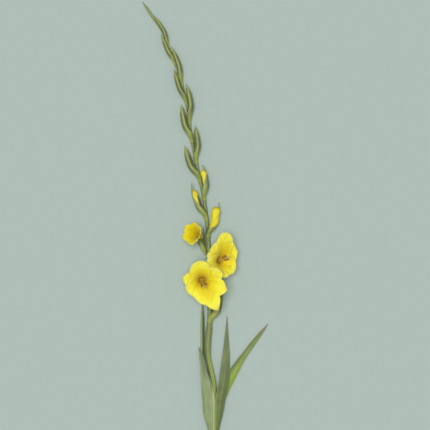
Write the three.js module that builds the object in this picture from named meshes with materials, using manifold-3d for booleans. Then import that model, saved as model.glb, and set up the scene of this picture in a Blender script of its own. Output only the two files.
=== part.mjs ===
// A cut gladiolus lying on a flat surface: one flowering stem with its leaves, bracts, buds and flowers.
//
// Millimetres, +Z up, the surface at z = 0. The stem runs along +Y towards the tip of the spike, and the
// flowers face up. Angles are in degrees. An azimuth is measured around the stem, from straight up (0)
// towards the right (90), the surface (180) and the left (-90). Every leaf, bract and petal is a thin
// sheet of its own.

import * as THREE from "three";
import { mergeVertices } from "three/addons/utils/BufferGeometryUtils.js";
import Module from "manifold-3d";

const wasm = await Module();
wasm.setup();

// ---------------------------------------------------------------------------------------------------------
// Driving dimensions
// ---------------------------------------------------------------------------------------------------------

const CLEARANCE = 0.5; // between neighbouring pieces
const BUD_CLEARANCE = 1.2; // between rolled petals and the bracts around them
const LEAF_THICKNESS = 0.9;
const BRACT_THICKNESS = 0.8;
const PETAL_THICKNESS = 0.9;
const TUBE_WALL = 1.0; // wall of a flower's tube, where it is hollow
const TUBE_CUP_DEPTH = 12; // how deep the hollow of the tube goes

const CUT_END = -140; // where the stem was cut
const STEM_RADIUS = [
  // [y, radius]
  [CUT_END, 6.0],
  [60, 5.6],
  [200, 4.9],
  [372, 4.1],
  [450, 3.5],
  [550, 2.9],
  [650, 2.4],
  [750, 1.9],
  [806, 1.5],
  [822, 2.6],
  [838, 2.8],
  [856, 0.6],
];

// The stem's route seen from above, and the height of its underside above the surface.
const SHEATH_LAYERS = 3; // leaf sheaths between the lower stem and the surface
const SHEATH_PITCH = LEAF_THICKNESS + CLEARANCE;
const SHEATH_LIFT = SHEATH_LAYERS * SHEATH_PITCH;
const STEM_ROUTE = [
  // [x, y, lift]
  [8, CUT_END, SHEATH_LIFT],
  [9, -60, SHEATH_LIFT],
  [9.5, 20, SHEATH_LIFT],
  [8.5, 88, SHEATH_LIFT],
  [3.5, 118, 0.95 * SHEATH_LIFT],
  [-2, 146, 0.85 * SHEATH_LIFT],
  [-1.5, 180, 0.75 * SHEATH_LIFT],
  [1.5, 230, 0.6 * SHEATH_LIFT],
  [0.5, 310, 0.4 * SHEATH_LIFT],
  [-1, 372, 0.25 * SHEATH_LIFT],
  [-8, 450, 0.1],
  [-21, 514, 0.1],
  [-34, 578, 0.1],
  [-45, 654, 0.1],
  [-61, 713, 0.1],
  [-88, 784, 0.1],
  [-110, 822, 0.1],
  [-133, 856, 0.1],
];

// Each leaf's sheath runs along the stem from `start` to `end`, centred on `azimuth`, in the given layer
// from the stem, and `wraps` are the half angles it covers at its stations. The blade's stations follow:
// [x, y, z, half width, the azimuth its outer face looks to, half angle of its curl]. Their x and z are
// counted from where the sheath would be at that y and azimuth, or, in a leaf that `rests`, from the
// surface and the plant's own axes.
const LEAVES = {
  left_leaf: {
    sheath: { start: -70, end: -14, azimuth: -62, layer: 2, wraps: [50, 50, 48] },
    blade: [
      [-7.5, 28, -1.9, 10.4, -37, 22],
      [-9.9, 60, -3.1, 11.4, -30, 18],
      [-11.9, 92, -3.1, 9.8, -22, 14],
      [-12.1, 122, -5.0, 6.4, -14, 12],
      [-10.7, 148, -6.6, 4.4, -18, 8],
      [-15.8, 165, -9.4, 0.6, -20, 0],
    ],
  },
  centre_leaf: {
    sheath: { start: -90, end: -14, azimuth: 62, layer: 2, wraps: [50, 50, 48] },
    blade: [
      [5.7, 30, -1.9, 9.2, 32, 18],
      [10.6, 62, -3.0, 11.2, 25, 14],
      [18.6, 92, -7.1, 11, 16, 12],
      [29.6, 126, -9.9, 9.4, 8, 12],
      [36.2, 160, -11.7, 6.4, 4, 10],
      [35.8, 196, -12.9, 3, 0, 6],
      [34.7, 228, -13.5, 0.5, 0, 0],
    ],
  },
  right_leaf: {
    rests: true,
    sheath: { start: -110, end: -20, azimuth: 150, layer: 3, wraps: [36, 36, 36] },
    blade: [
      [17, 30, 1.2, 8.5, 158, 34],
      [24, 62, 0.9, 10, 168, 36],
      [35, 92, 0.7, 11.5, 174, 40],
      [50.5, 119, 0.6, 9.4, 176, 42],
      [68, 146, 0.6, 6.6, 178, 42],
      [87.5, 173, 0.6, 5.2, 180, 40],
      [104, 194, 0.6, 3.6, 180, 34],
      [118, 212, 0.6, 0.5, 180, 0],
    ],
  },
  tall_leaf: {
    sheath: { start: -20, end: 98, azimuth: -90, layer: 1.2, wraps: [150, 150, 136, 108, 66] },
    blade: [
      [-7.3, 121, -6.0, 5.2, -55, 40],
      [-6.9, 146, -7.8, 5.2, -38, 25],
      [-8.1, 180, -8.1, 5.2, -35, 18],
      [-10.8, 212, -8.3, 4.6, -32, 16],
      [-12.1, 238, -9.3, 2.8, -25, 10],
      [-12.7, 258, -10.5, 0.5, -15, 0],
    ],
  },
};

// Florets from the base of the spike to its tip. `length` and `width` are those of the closed bracts, and
// `reach` is how far their tip stands from the stem's middle.
const FLORETS = [
  { name: "floret_1", side: 1, y: 216, azimuth: 84, length: 76, width: 15, reach: 19, kind: "budding" },
  { name: "floret_2", side: -1, y: 262, azimuth: 84, length: 62, width: 12, reach: 20, kind: "open" },
  { name: "floret_3", side: 1, y: 308, azimuth: 84, length: 60, width: 12, reach: 22, kind: "open" },
  { name: "floret_4", side: -1, y: 352, azimuth: 84, length: 66, width: 12, reach: 26, kind: "open" },
  { name: "floret_5", side: 1, y: 386, azimuth: 66, length: 70, width: 15, reach: 23, kind: "budding" },
  { name: "floret_6", side: -1, y: 418, azimuth: 60, length: 80, width: 13.5, reach: 18, kind: "budding" },
  { name: "floret_7", side: 1, y: 459, azimuth: 42, length: 72, width: 13, reach: 13, kind: "budding" },
  { name: "floret_8", side: -1, y: 495, azimuth: 52, length: 76, width: 13.5, reach: 17, kind: "closed" },
  { name: "floret_9", side: 1, y: 532, azimuth: 50, length: 75, width: 12.5, reach: 11, kind: "closed" },
  { name: "floret_10", side: -1, y: 574, azimuth: 50, length: 78, width: 13, reach: 13, kind: "closed" },
  { name: "floret_11", side: 1, y: 611, azimuth: 48, length: 78, width: 12, reach: 10, kind: "closed" },
  { name: "floret_12", side: -1, y: 649, azimuth: 48, length: 74, width: 11, reach: 7, kind: "closed" },
  { name: "floret_13", side: 1, y: 686, azimuth: 46, length: 78, width: 10.5, reach: 6, kind: "closed" },
  { name: "floret_14", side: -1, y: 728, azimuth: 44, length: 64, width: 9, reach: 5, kind: "closed" },
  { name: "floret_15", side: 1, y: 762, azimuth: 44, length: 64, width: 8, reach: 4, kind: "closed" },
];

// Where the rolled petals of a budding floret show: the outer bract draws back to the half angle `cover`
// at the share `opens` of its length, and `turn` is how far the pair of bracts is turned around its
// flower.
const BUDDING = {
  floret_1: { opens: 0.5, cover: 80, turn: -15 },
  floret_5: { opens: 0.34, cover: 36, turn: -38 },
  floret_6: { opens: 0.42, cover: 60, turn: -48 },
  floret_7: { opens: 0.44, cover: 70, turn: -25 },
};
const BUD_SHARE = 0.87; // where rolled petals end, as a share of the length of their bracts
const BUD_START = 0.1; // and where they start

// Open flowers. `throat` is where the tube ends, from the floret's node: [x, y, height above the surface].
// `faces` is the direction the flower looks in and `up` the direction of its upper petal. Six petals
// follow, clockwise from the upper one, each [length, half width, flare at the throat, flare at the tip,
// lean]. A flare is the angle away from the way the flower faces, and a lean is how far a petal's tip
// swings clockwise. In a flower that is fully open the stamens show, and they lean towards the angle
// `stamensTo`.
const FLOWERS = {
  floret_2: {
    throat: [-15, 40, 38],
    faces: [0.08, -0.14, 0.98],
    up: [-0.42, 0.9, 0.1],
    throatRadius: 7,
    stamensTo: 185,
    petals: [
      [48, 27, 34, 80, 30],
      [44, 22, 30, 68, 14],
      [51, 21, 30, 88, 12],
      [66, 24, 30, 88, -4],
      [33, 26, 30, 92, 10],
      [40, 19, 30, 90, 8],
    ],
  },
  floret_3: {
    throat: [19.5, 32, 30],
    faces: [0.5, 0.06, 0.86],
    up: [0, 1, 0],
    throatRadius: 7,
    stamensTo: 40,
    petals: [
      [58, 30, 30, 88, -2],
      [36, 26, 28, 92, -6],
      [32, 24, 26, 96, 15],
      [33, 24, 26, 88, -6],
      [34, 24, 30, 100, 20],
      [42, 24, 20, 88, 0],
    ],
  },
  floret_4: {
    throat: [-19, 37, 22],
    faces: [-0.5, 0.16, 0.84],
    up: [0.1, 0.95, 0.1],
    throatRadius: 5.6,
    petals: [
      [32, 15, 16, 50, 0],
      [27, 14, 14, 40, 0],
      [27, 14, 12, 38, 0],
      [30, 14, 14, 46, 0],
      [32, 15, 16, 54, 0],
      [32, 15, 16, 52, 0],
    ],
  },
};

const BRACT_BASE_SHARE = 0.34; // width of a bract at its base, as a share of its widest
const BRACT_TIP_SHARE = 0.08; // and at its tip
const BRACT_WIDEST = 0.4; // where it is widest, as a share of its length
const BRACT_CLOSING = 0.7; // how much of its half angle a bract loses by its tip
const OUTER_BRACT_WRAP = 118; // half angle that the outer bract covers
const INNER_BRACT_WRAP = 54; // and the inner one
const OPEN_INNER_WRAP = 42;
const OPEN_BRACT_WRAP = 50; // half angle of a bract pushed open by its flower
const OPEN_BRACT_SHARE = 0.08; // where it starts to open, as a share of its length
const INNER_BRACT_REACH = 8; // how far an open flower's inner bract stands from the stem's middle
const FILAMENT_RADIUS = 0.8;
const ANTHER_RADIUS = 1.5;
const STYLE_RADIUS = 0.7;
const STAMEN_ANGLES = [-64, 0, 64];
const STAMENS_GATHER = 0.55; // how much closer together their tips are than their bases

const LEAF_GREEN = { color: 0x64754a, roughness: 0.55, metalness: 0 };
const STEM_GREEN = { color: 0x76883f, roughness: 0.5, metalness: 0 };
const BRACT_GREEN = { color: 0x6f7f45, roughness: 0.55, metalness: 0 };
const PETAL_YELLOW = { color: 0xf6e23c, roughness: 0.6, metalness: 0 };
const THROAT_YELLOW = { color: 0xdcb80c, roughness: 0.6, metalness: 0 };
const ANTHER_CREAM = { color: 0xd8c690, roughness: 0.7, metalness: 0 };

// ---------------------------------------------------------------------------------------------------------
// Small helpers
// ---------------------------------------------------------------------------------------------------------

const radians = THREE.MathUtils.degToRad;
const clamp = THREE.MathUtils.clamp;
const UP = new THREE.Vector3(0, 0, 1);

const vector = (x, y, z) => new THREE.Vector3(x, y, z);

// start + each direction times its amount
function along(start, ...steps) {
  const p = start.clone();
  for (const [direction, amount] of steps) p.addScaledVector(direction, amount);
  return p;
}

// Catmull-Rom curve through rows of numbers, at a share of the way from the first row to the last.
function spline(rows, share) {
  const last = rows.length - 1;
  const at = clamp(share, 0, 1) * last;
  const i = Math.min(Math.floor(at), last - 1);
  const f = at - i;
  const [a, b, c, d] = [-1, 0, 1, 2].map((k) => rows[clamp(i + k, 0, last)]);
  return b.map((_, n) => {
    const slope = c[n] - a[n];
    const bend = 2 * a[n] - 5 * b[n] + 4 * c[n] - d[n];
    const twist = 3 * (b[n] - c[n]) + d[n] - a[n];
    return b[n] + 0.5 * f * (slope + f * (bend + f * twist));
  });
}

// Straight-line interpolation in a list of [at, value] rows.
function tableValue(rows, at) {
  const next = rows.findIndex((row) => row[0] >= at);
  if (next < 0) return rows[rows.length - 1][1];
  if (next === 0) return rows[0][1];
  const [[x0, v0], [x1, v1]] = [rows[next - 1], rows[next]];
  return v0 + ((v1 - v0) * (at - x0)) / (x1 - x0);
}

// Direction of travel at point i of a line of points.
function tangentAt(points, i) {
  const before = points[Math.max(i - 1, 0)];
  const after = points[Math.min(i + 1, points.length - 1)];
  return after.clone().sub(before).normalize();
}

// Frame across a direction of travel: `out` is the given azimuth direction, `across` completes it.
function frameAcross(tangent, azimuth) {
  const right = tangent.clone().cross(UP).normalize();
  const top = right.clone().cross(tangent).normalize();
  const [c, s] = [Math.cos(radians(azimuth)), Math.sin(radians(azimuth))];
  const out = along(vector(0, 0, 0), [top, c], [right, s]);
  const across = along(vector(0, 0, 0), [right, c], [top, -s]);
  return { out, across };
}

// ---------------------------------------------------------------------------------------------------------
// Solids
// ---------------------------------------------------------------------------------------------------------

// Indexed triangles as a BufferGeometry that faces out.
function solidGeometry(points, faces) {
  let volume = 0;
  for (const [a, b, c] of faces) volume += points[a].dot(points[b].clone().cross(points[c]));
  const facing = volume < 0 ? faces.map(([a, b, c]) => [a, c, b]) : faces;
  const geometry = new THREE.BufferGeometry();
  const numbers = points.flatMap((p) => [p.x, p.y, p.z]);
  geometry.setAttribute("position", new THREE.Float32BufferAttribute(numbers, 3));
  geometry.setIndex(facing.flat());
  geometry.computeVertexNormals();
  return geometry;
}

// Solid through closed rings of the same number of points, with a fan over each end.
function loftSolid(rings) {
  const size = rings[0].length;
  const points = rings.flat();
  const faces = [];
  for (let i = 0; i + 1 < rings.length; i++) {
    for (let j = 0; j < size; j++) {
      const [a, b] = [i * size + j, i * size + ((j + 1) % size)];
      faces.push([a, b, b + size], [a, b + size, a + size]);
    }
  }
  const last = (rings.length - 1) * size;
  for (const [start, turn] of [
    [0, false],
    [last, true],
  ]) {
    const centre = points.length;
    const ring = points.slice(start, start + size);
    points.push(ring.reduce((sum, p) => sum.add(p), vector(0, 0, 0)).divideScalar(size));
    for (let j = 0; j < size; j++) {
      const [a, b] = [start + j, start + ((j + 1) % size)];
      faces.push(turn ? [centre, a, b] : [centre, b, a]);
    }
  }
  return solidGeometry(points, faces);
}

// Thin solid around a grid of points, half the thickness to each side of it.
function sheetSolid(grid, thickness) {
  const rows = grid.length;
  const columns = grid[0].length;
  const sheets = [1, -1].map((side) =>
    grid.map((row, i) =>
      row.map((p, j) => {
        const downRow = grid[Math.min(i + 1, rows - 1)][j].clone().sub(grid[Math.max(i - 1, 0)][j]);
        const alongRow = row[Math.min(j + 1, columns - 1)].clone().sub(row[Math.max(j - 1, 0)]);
        return along(p, [alongRow.cross(downRow).normalize(), (side * thickness) / 2]);
      }),
    ),
  );
  const points = sheets.flat(2);
  const index = (side, i, j) => side * rows * columns + i * columns + j;
  const faces = [];
  const quad = (...corners) => {
    const [a, b, c, d] = corners.map((corner) => index(...corner));
    faces.push([a, b, c], [a, c, d]);
  };
  for (let i = 0; i + 1 < rows; i++) {
    for (let j = 0; j + 1 < columns; j++) {
      quad([0, i, j], [0, i, j + 1], [0, i + 1, j + 1], [0, i + 1, j]);
      quad([1, i, j], [1, i + 1, j], [1, i + 1, j + 1], [1, i, j + 1]);
    }
    quad([0, i, 0], [0, i + 1, 0], [1, i + 1, 0], [1, i, 0]);
    quad([0, i + 1, columns - 1], [0, i, columns - 1], [1, i, columns - 1], [1, i + 1, columns - 1]);
  }
  for (let j = 0; j + 1 < columns; j++) {
    quad([0, 0, j + 1], [0, 0, j], [1, 0, j], [1, 0, j + 1]);
    quad([0, rows - 1, j], [0, rows - 1, j + 1], [1, rows - 1, j + 1], [1, rows - 1, j]);
  }
  return solidGeometry(points, faces);
}

// Rings of a round rod along points, with a radius at each point, carried along without twisting.
function rodRings(points, radii, sides, tangents = points.map((_, i) => tangentAt(points, i))) {
  let { out } = frameAcross(tangents[0], 0);
  return points.map((p, i) => {
    out = along(out, [tangents[i], -out.dot(tangents[i])]).normalize();
    const across = out.clone().cross(tangents[i]);
    return Array.from({ length: sides }, (_, j) => {
      const angle = (2 * Math.PI * j) / sides;
      return along(p, [out, radii[i] * Math.cos(angle)], [across, radii[i] * Math.sin(angle)]);
    });
  });
}

function asManifold(geometry) {
  const bare = geometry.clone();
  bare.deleteAttribute("normal");
  const merged = mergeVertices(bare);
  return new wasm.Manifold(
    new wasm.Mesh({
      numProp: 3,
      vertProperties: merged.attributes.position.array,
      triVerts: new Uint32Array(merged.index.array),
    }),
  );
}

function asGeometry(solid) {
  const mesh = solid.getMesh();
  const geometry = new THREE.BufferGeometry();
  geometry.setAttribute("position", new THREE.BufferAttribute(mesh.vertProperties, 3));
  geometry.setIndex(new THREE.BufferAttribute(mesh.triVerts, 1));
  geometry.computeVertexNormals();
  return geometry;
}

const plant = new THREE.Group();

function addPiece(name, geometry, finish) {
  const mesh = new THREE.Mesh(geometry, new THREE.MeshStandardMaterial(finish));
  mesh.name = name;
  plant.add(mesh);
}

// ---------------------------------------------------------------------------------------------------------
// Stem
// ---------------------------------------------------------------------------------------------------------

const STEM_RINGS = 34;
const STEM_SIDES = 12;

const stemRadius = (y) => tableValue(STEM_RADIUS, y);

function stemPoint(share) {
  const [x, y, lift] = spline(STEM_ROUTE, share);
  return vector(x, y, lift + stemRadius(y));
}

// The stem's middle at a given y, with its direction of travel.
function stemAt(y) {
  let [low, high] = [0, 1];
  for (let i = 0; i < 30; i++) {
    const middle = (low + high) / 2;
    if (stemPoint(middle).y < y) low = middle;
    else high = middle;
  }
  const step = 0.002;
  const tangent = stemPoint(low + step).sub(stemPoint(low - step)).normalize();
  return { point: stemPoint(low), tangent, radius: stemRadius(y) };
}

function addStem() {
  const shares = Array.from({ length: STEM_RINGS }, (_, i) => i / (STEM_RINGS - 1));
  const points = shares.map(stemPoint);
  const radii = points.map((p) => stemRadius(p.y));
  addPiece("stem", loftSolid(rodRings(points, radii, STEM_SIDES)), STEM_GREEN);
}

// ---------------------------------------------------------------------------------------------------------
// Leaves
// ---------------------------------------------------------------------------------------------------------

const LEAF_RINGS = 16;
const LEAF_COLUMNS = 9;

// Middle radius of a sheath in a layer, counted from the stem outwards.
const sheathRadius = (y, layer) => stemRadius(y) + layer * SHEATH_PITCH - LEAF_THICKNESS / 2;

// The sheath as stations like those of a blade.
function sheathStations({ start, end, azimuth, layer, wraps }) {
  return wraps.map((wrap, i) => {
    const y = start + ((end - start) * i) / (wraps.length - 1);
    const { point, tangent } = stemAt(y);
    const radius = sheathRadius(y, layer);
    const centre = along(point, [frameAcross(tangent, azimuth).out, radius]);
    return [centre.x, centre.y, centre.z, radius * radians(wrap), azimuth, wrap];
  });
}

// The blade's stations, carried by the sheath unless the leaf rests on the surface.
function bladeStations({ sheath, blade, rests }) {
  if (rests) return blade;
  return blade.map(([x, y, z, halfWidth, azimuth, curl]) => {
    const { point, tangent } = stemAt(y);
    const carried = along(point, [frameAcross(tangent, azimuth).out, sheathRadius(y, sheath.layer)]);
    return [carried.x + x, y, carried.z + z, halfWidth, azimuth, curl];
  });
}

// A leaf as one sheet, curved across around its outer face.
function addLeaf(name, leaf) {
  const rows = [...sheathStations(leaf.sheath), ...bladeStations(leaf)];
  const stations = Array.from({ length: LEAF_RINGS }, (_, i) => spline(rows, i / (LEAF_RINGS - 1)));
  const centres = stations.map(([x, y, z]) => vector(x, y, z));
  const grid = stations.map(([, , , halfWidth, azimuth, wrap], i) => {
    const { out, across } = frameAcross(tangentAt(centres, i), azimuth);
    const turn = radians(Math.max(wrap, 1));
    const radius = Math.max(halfWidth, 0.5) / turn;
    return Array.from({ length: LEAF_COLUMNS }, (_, j) => {
      const angle = turn * ((2 * j) / (LEAF_COLUMNS - 1) - 1);
      return along(centres[i], [across, radius * Math.sin(angle)], [out, -radius * (1 - Math.cos(angle))]);
    });
  });
  addPiece(name, sheetSolid(grid, LEAF_THICKNESS), LEAF_GREEN);
}

// ---------------------------------------------------------------------------------------------------------
// Bracts and buds
// ---------------------------------------------------------------------------------------------------------

const BRACT_ROWS = 8;
const BRACT_COLUMNS = 7;
const BUD_SIDES = 8;
const BUD_TIP_RADIUS = 0.5;
const BUD_BLUNTNESS = 0.96; // how much the tip of rolled petals is rounded off
const FLORET_LEAN_POWER = 1.6; // how late a floret leaves the stem
const BRACT_OPENING = 0.14; // share of its length over which a bract draws back from its flower
const INNER_BRACT_SHARE = 0.86; // length of an inner bract, as a share of its outer bract

// Radius of a closed pair of bracts along its length, as a share of its widest radius.
function bractShape(share) {
  if (share < BRACT_WIDEST) {
    const rise = Math.sin((Math.PI / 2) * (share / BRACT_WIDEST));
    return BRACT_BASE_SHARE + (1 - BRACT_BASE_SHARE) * rise;
  }
  const fall = Math.cos((Math.PI / 2) * ((share - BRACT_WIDEST) / (1 - BRACT_WIDEST)) ** 1.6);
  return BRACT_TIP_SHARE + (1 - BRACT_TIP_SHARE) * fall;
}

// Middle of a floret's bracts at a share of their length, clear of the stem all the way up.
function floretPoint(floret, share) {
  const { point, tangent, radius } = stemAt(floret.y + share * floret.length);
  const { out } = frameAcross(tangent, floret.side * floret.azimuth);
  const close = radius + CLEARANCE + BRACT_THICKNESS / 2 + (floret.width / 2) * bractShape(share);
  const lean = Math.max(0, floret.reach - stemAt(floret.y + floret.length).radius - CLEARANCE);
  return along(point, [out, close + lean * share ** FLORET_LEAN_POWER]);
}

// Stations along a floret's middle line with the directions across it.
function floretStations(floret, from, to, count) {
  const shares = Array.from({ length: count }, (_, i) => from + ((to - from) * i) / (count - 1));
  const points = shares.map((share) => floretPoint(floret, share));
  return points.map((point, i) => {
    const { out, across } = frameAcross(tangentAt(points, i), floret.side * floret.azimuth);
    return { point, out, across, share: shares[i] };
  });
}

// A point around a floret's middle line. An angle of 0 looks away from the stem.
function aroundFloret({ point, out, across }, side, radius, angle) {
  return along(point, [out, radius * Math.cos(angle)], [across, -side * radius * Math.sin(angle)]);
}

// One bract: a pointed sheet around the floret's middle line, facing `turn` degrees from the outer side.
function addBract(name, floret, { turn, wrapAt, length }) {
  const grid = floretStations(floret, 0, length, BRACT_ROWS).map((station) => {
    const radius = (floret.width / 2 - BRACT_THICKNESS / 2) * bractShape(station.share);
    const half = radians(wrapAt(station.share / length));
    return Array.from({ length: BRACT_COLUMNS }, (_, j) => {
      const angle = radians(turn) + half * ((2 * j) / (BRACT_COLUMNS - 1) - 1);
      return aroundFloret(station, floret.side, radius, angle);
    });
  });
  addPiece(name, sheetSolid(grid, BRACT_THICKNESS), BRACT_GREEN);
}

// Half angle of a bract along its length: `base` at its base, `wrap` from the share `opens` on, closing to
// a point.
const bractWrap = (base, opens, wrap) => (share) => {
  const opening = clamp((share - opens) / BRACT_OPENING, 0, 1);
  const closing = share < 0.5 ? 1 : 1 - BRACT_CLOSING * ((share - 0.5) / 0.5) ** 2;
  return (base + (wrap - base) * opening) * closing;
};

// Rings of a rolled bud along a floret, from one share of its length to another.
function budRings(floret, from, to, radiusAt) {
  return floretStations(floret, from, to, BRACT_ROWS + 1).map((station) =>
    Array.from({ length: BUD_SIDES }, (_, j) =>
      aroundFloret(station, floret.side, radiusAt(station.share), (2 * Math.PI * j) / BUD_SIDES),
    ),
  );
}

// A closed floret: bud and bracts grown together into one pointed body.
function addClosedFloret(floret) {
  const rings = budRings(floret, 0, 1, (share) => (floret.width / 2) * bractShape(share));
  addPiece(`${floret.name}_bud`, loftSolid(rings), BRACT_GREEN);
}

// A floret whose rolled petals show between its bracts.
function addBuddingFloret(floret) {
  const { opens, cover, turn } = BUDDING[floret.name];
  const room = BRACT_THICKNESS + BUD_CLEARANCE;
  const rings = budRings(floret, BUD_START, BUD_SHARE, (share) => {
    const grown = (share - BUD_START) / (BUD_SHARE - BUD_START);
    const blunt = Math.sqrt(1 - BUD_BLUNTNESS * grown ** 4);
    return Math.max(BUD_TIP_RADIUS, ((floret.width / 2) * bractShape(share) - room) * blunt);
  });
  addPiece(`${floret.name}_bud`, loftSolid(rings), PETAL_YELLOW);
  const wrapAt = bractWrap(OUTER_BRACT_WRAP, opens, cover);
  addBract(`${floret.name}_outer_bract`, floret, { turn, wrapAt, length: 1 });
  addBract(`${floret.name}_inner_bract`, floret, {
    turn: 180 + turn,
    wrapAt: bractWrap(INNER_BRACT_WRAP, opens, INNER_BRACT_WRAP),
    length: INNER_BRACT_SHARE,
  });
}

// ---------------------------------------------------------------------------------------------------------
// Flowers
// ---------------------------------------------------------------------------------------------------------

const PETAL_NAMES = ["upper", "upper_right", "lower_right", "lower", "lower_left", "upper_left"];
const WIDEST_SHARE = 0.58; // where a petal is widest, as a share of its length
const TIP_START = 0.7; // where its sides start to fall behind its middle
const TIP_ROUNDING = 0.1;
const PETAL_ROWS = 8;
const PETAL_COLUMNS = 7;
const PROFILE_STEPS = 12;
const TUBE_RINGS = 9;
const TUBE_LEAD = 0.3; // how long the tube follows its bracts, and how early it bends to its flower
const TUBE_BEND = 0.38;
const TUBE_START = 0.06; // where the tube starts, as a share of the length of its bracts
const TUBE_WIDENING = 2.2; // how late it widens
const TUBE_SIDES = 12;
const LAYER_GAP = PETAL_THICKNESS / 2 + 0.7 * CLEARANCE; // how far a petal stands off the flower's surface
const LAYER_START = 0.1; // share of a petal's length over which the layers part
const SIDE_BY_SIDE = 30; // half angle of a petal up to there
const OVERLAPPING = 60; // and beyond, at most

// Throat position and the axes of a flower.
function flowerFrame(floret, flower) {
  const node = stemAt(floret.y).point;
  const [x, y, z] = flower.throat;
  const axis = vector(...flower.faces).normalize();
  const up = vector(...flower.up).addScaledVector(axis, -vector(...flower.up).dot(axis)).normalize();
  const right = up.clone().cross(axis).normalize();
  return { throat: vector(node.x + x, node.y + y, z), axis, up, right };
}

// A petal value at any angle around the flower, blended between the two nearest petals.
function aroundFlower(flower, angle, column) {
  const at = (((angle / 60) % 6) + 6) % 6;
  const i = Math.floor(at);
  const blend = 0.5 - 0.5 * Math.cos(Math.PI * (at - i));
  const value = (k) => flower.petals[k % 6][column];
  return value(i) + (value(i + 1) - value(i)) * blend;
}

// Point of the flower's flaring surface: a share of the way out from the throat, `offset` inwards.
function flarePoint(frame, flower, angle, share, offset) {
  const length = aroundFlower(flower, angle, 0);
  const [from, to] = [aroundFlower(flower, angle, 2), aroundFlower(flower, angle, 3)];
  let [radial, height] = [flower.throatRadius, 0];
  let flare = radians(from);
  for (let i = 0; i < PROFILE_STEPS; i++) {
    const s = (share * (i + 0.5)) / PROFILE_STEPS;
    flare = radians(from + (to - from) * s);
    radial += (length * share * Math.sin(flare)) / PROFILE_STEPS;
    height += (length * share * Math.cos(flare)) / PROFILE_STEPS;
  }
  radial -= offset * Math.cos(flare);
  height += offset * Math.sin(flare);
  const [c, s] = [Math.cos(radians(angle)), Math.sin(radians(angle))];
  return along(frame.throat, [frame.up, radial * c], [frame.right, radial * s], [frame.axis, height]);
}

// Half width of a petal along its length, as a share of its widest.
function petalShape(share, baseShare) {
  if (share < WIDEST_SHARE) {
    return baseShare + (1 - baseShare) * Math.sin((Math.PI / 2) * (share / WIDEST_SHARE)) ** 1.2;
  }
  return Math.sqrt(Math.max(0.02, 1 - ((share - WIDEST_SHARE) / (1 - WIDEST_SHARE)) ** 3));
}

function addPetal(name, frame, flower, k) {
  const centre = 60 * k;
  const [, halfWidth, , , lean] = flower.petals[k];
  const baseHalf = radians(SIDE_BY_SIDE) * flower.throatRadius - CLEARANCE;
  const layer = k % 2 === 0 ? 1 : -1;
  const shares = Array.from({ length: PETAL_ROWS }, (_, i) => {
    if (i === 0) return 0;
    return LAYER_START + (1 - LAYER_START) * Math.sin((Math.PI / 2) * ((i - 1) / (PETAL_ROWS - 2)));
  });
  const grid = shares.map((share) => {
    const fromThroat = flarePoint(frame, flower, centre, share, 0).sub(frame.throat);
    const radial = Math.sqrt(fromThroat.lengthSq() - fromThroat.dot(frame.axis) ** 2);
    const room = radians(share <= LAYER_START ? SIDE_BY_SIDE : OVERLAPPING) * radial - CLEARANCE;
    const half = Math.min(halfWidth * petalShape(share, baseHalf / halfWidth), room);
    const spread = THREE.MathUtils.radToDeg(half / radial);
    const offset = layer * LAYER_GAP * Math.min(1, share / LAYER_START);
    return Array.from({ length: PETAL_COLUMNS }, (_, j) => {
      const v = (2 * j) / (PETAL_COLUMNS - 1) - 1;
      const tipped = share - TIP_ROUNDING * (v * half / halfWidth) ** 2 * Math.max(0, share - TIP_START);
      return flarePoint(frame, flower, centre + spread * v + lean * share ** 3, tipped, offset);
    });
  });
  addPiece(name, sheetSolid(grid, PETAL_THICKNESS), PETAL_YELLOW);
}

// The tube, from inside the bracts to the throat, hollow at its mouth.
function addTube(floret, flower, frame) {
  const start = floretPoint(floret, TUBE_START);
  const lead = floretPoint(floret, 2 * TUBE_START).sub(start).normalize();
  const end = along(frame.throat, [frame.axis, -CLEARANCE]);
  const span = start.distanceTo(end);
  const afterStart = along(start, [lead, TUBE_LEAD * span]);
  const beforeEnd = along(end, [frame.axis, -TUBE_BEND * span]);
  const curve = new THREE.CubicBezierCurve3(start, afterStart, beforeEnd, end);
  const mouth = flower.throatRadius + TUBE_WALL / 2;
  const neck = (floret.width / 2) * BRACT_BASE_SHARE - BRACT_THICKNESS;
  const widen = (share) => neck + (mouth - neck) * share ** TUBE_WIDENING;
  const cupShare = 1 - TUBE_CUP_DEPTH / curve.getLength();
  const outside = Array.from({ length: TUBE_RINGS }, (_, i) => i / (TUBE_RINGS - 1));
  const inside = [1, (1 + cupShare) / 2, cupShare];
  const shares = [...outside, ...inside];
  const points = shares.map((share) => curve.getPointAt(share));
  const tangents = shares.map((share) => curve.getTangentAt(share));
  const radii = shares.map((share, i) => widen(share) - (i < outside.length ? 0 : TUBE_WALL));
  const rings = rodRings(points, radii, TUBE_SIDES, tangents);
  addPiece(`${floret.name}_tube`, loftSolid(rings), PETAL_YELLOW);
}

// Directions across a flower: the way its stamens lean, and sideways from there.
function stamenPlace(frame, flower) {
  const [c, s] = [Math.cos(radians(flower.stamensTo)), Math.sin(radians(flower.stamensTo))];
  const ahead = along(vector(0, 0, 0), [frame.up, c], [frame.right, s]);
  const beside = along(vector(0, 0, 0), [frame.right, c], [frame.up, -s]);
  return (lean, side, height) => along(frame.throat, [ahead, lean], [beside, side], [frame.axis, height]);
}

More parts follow.
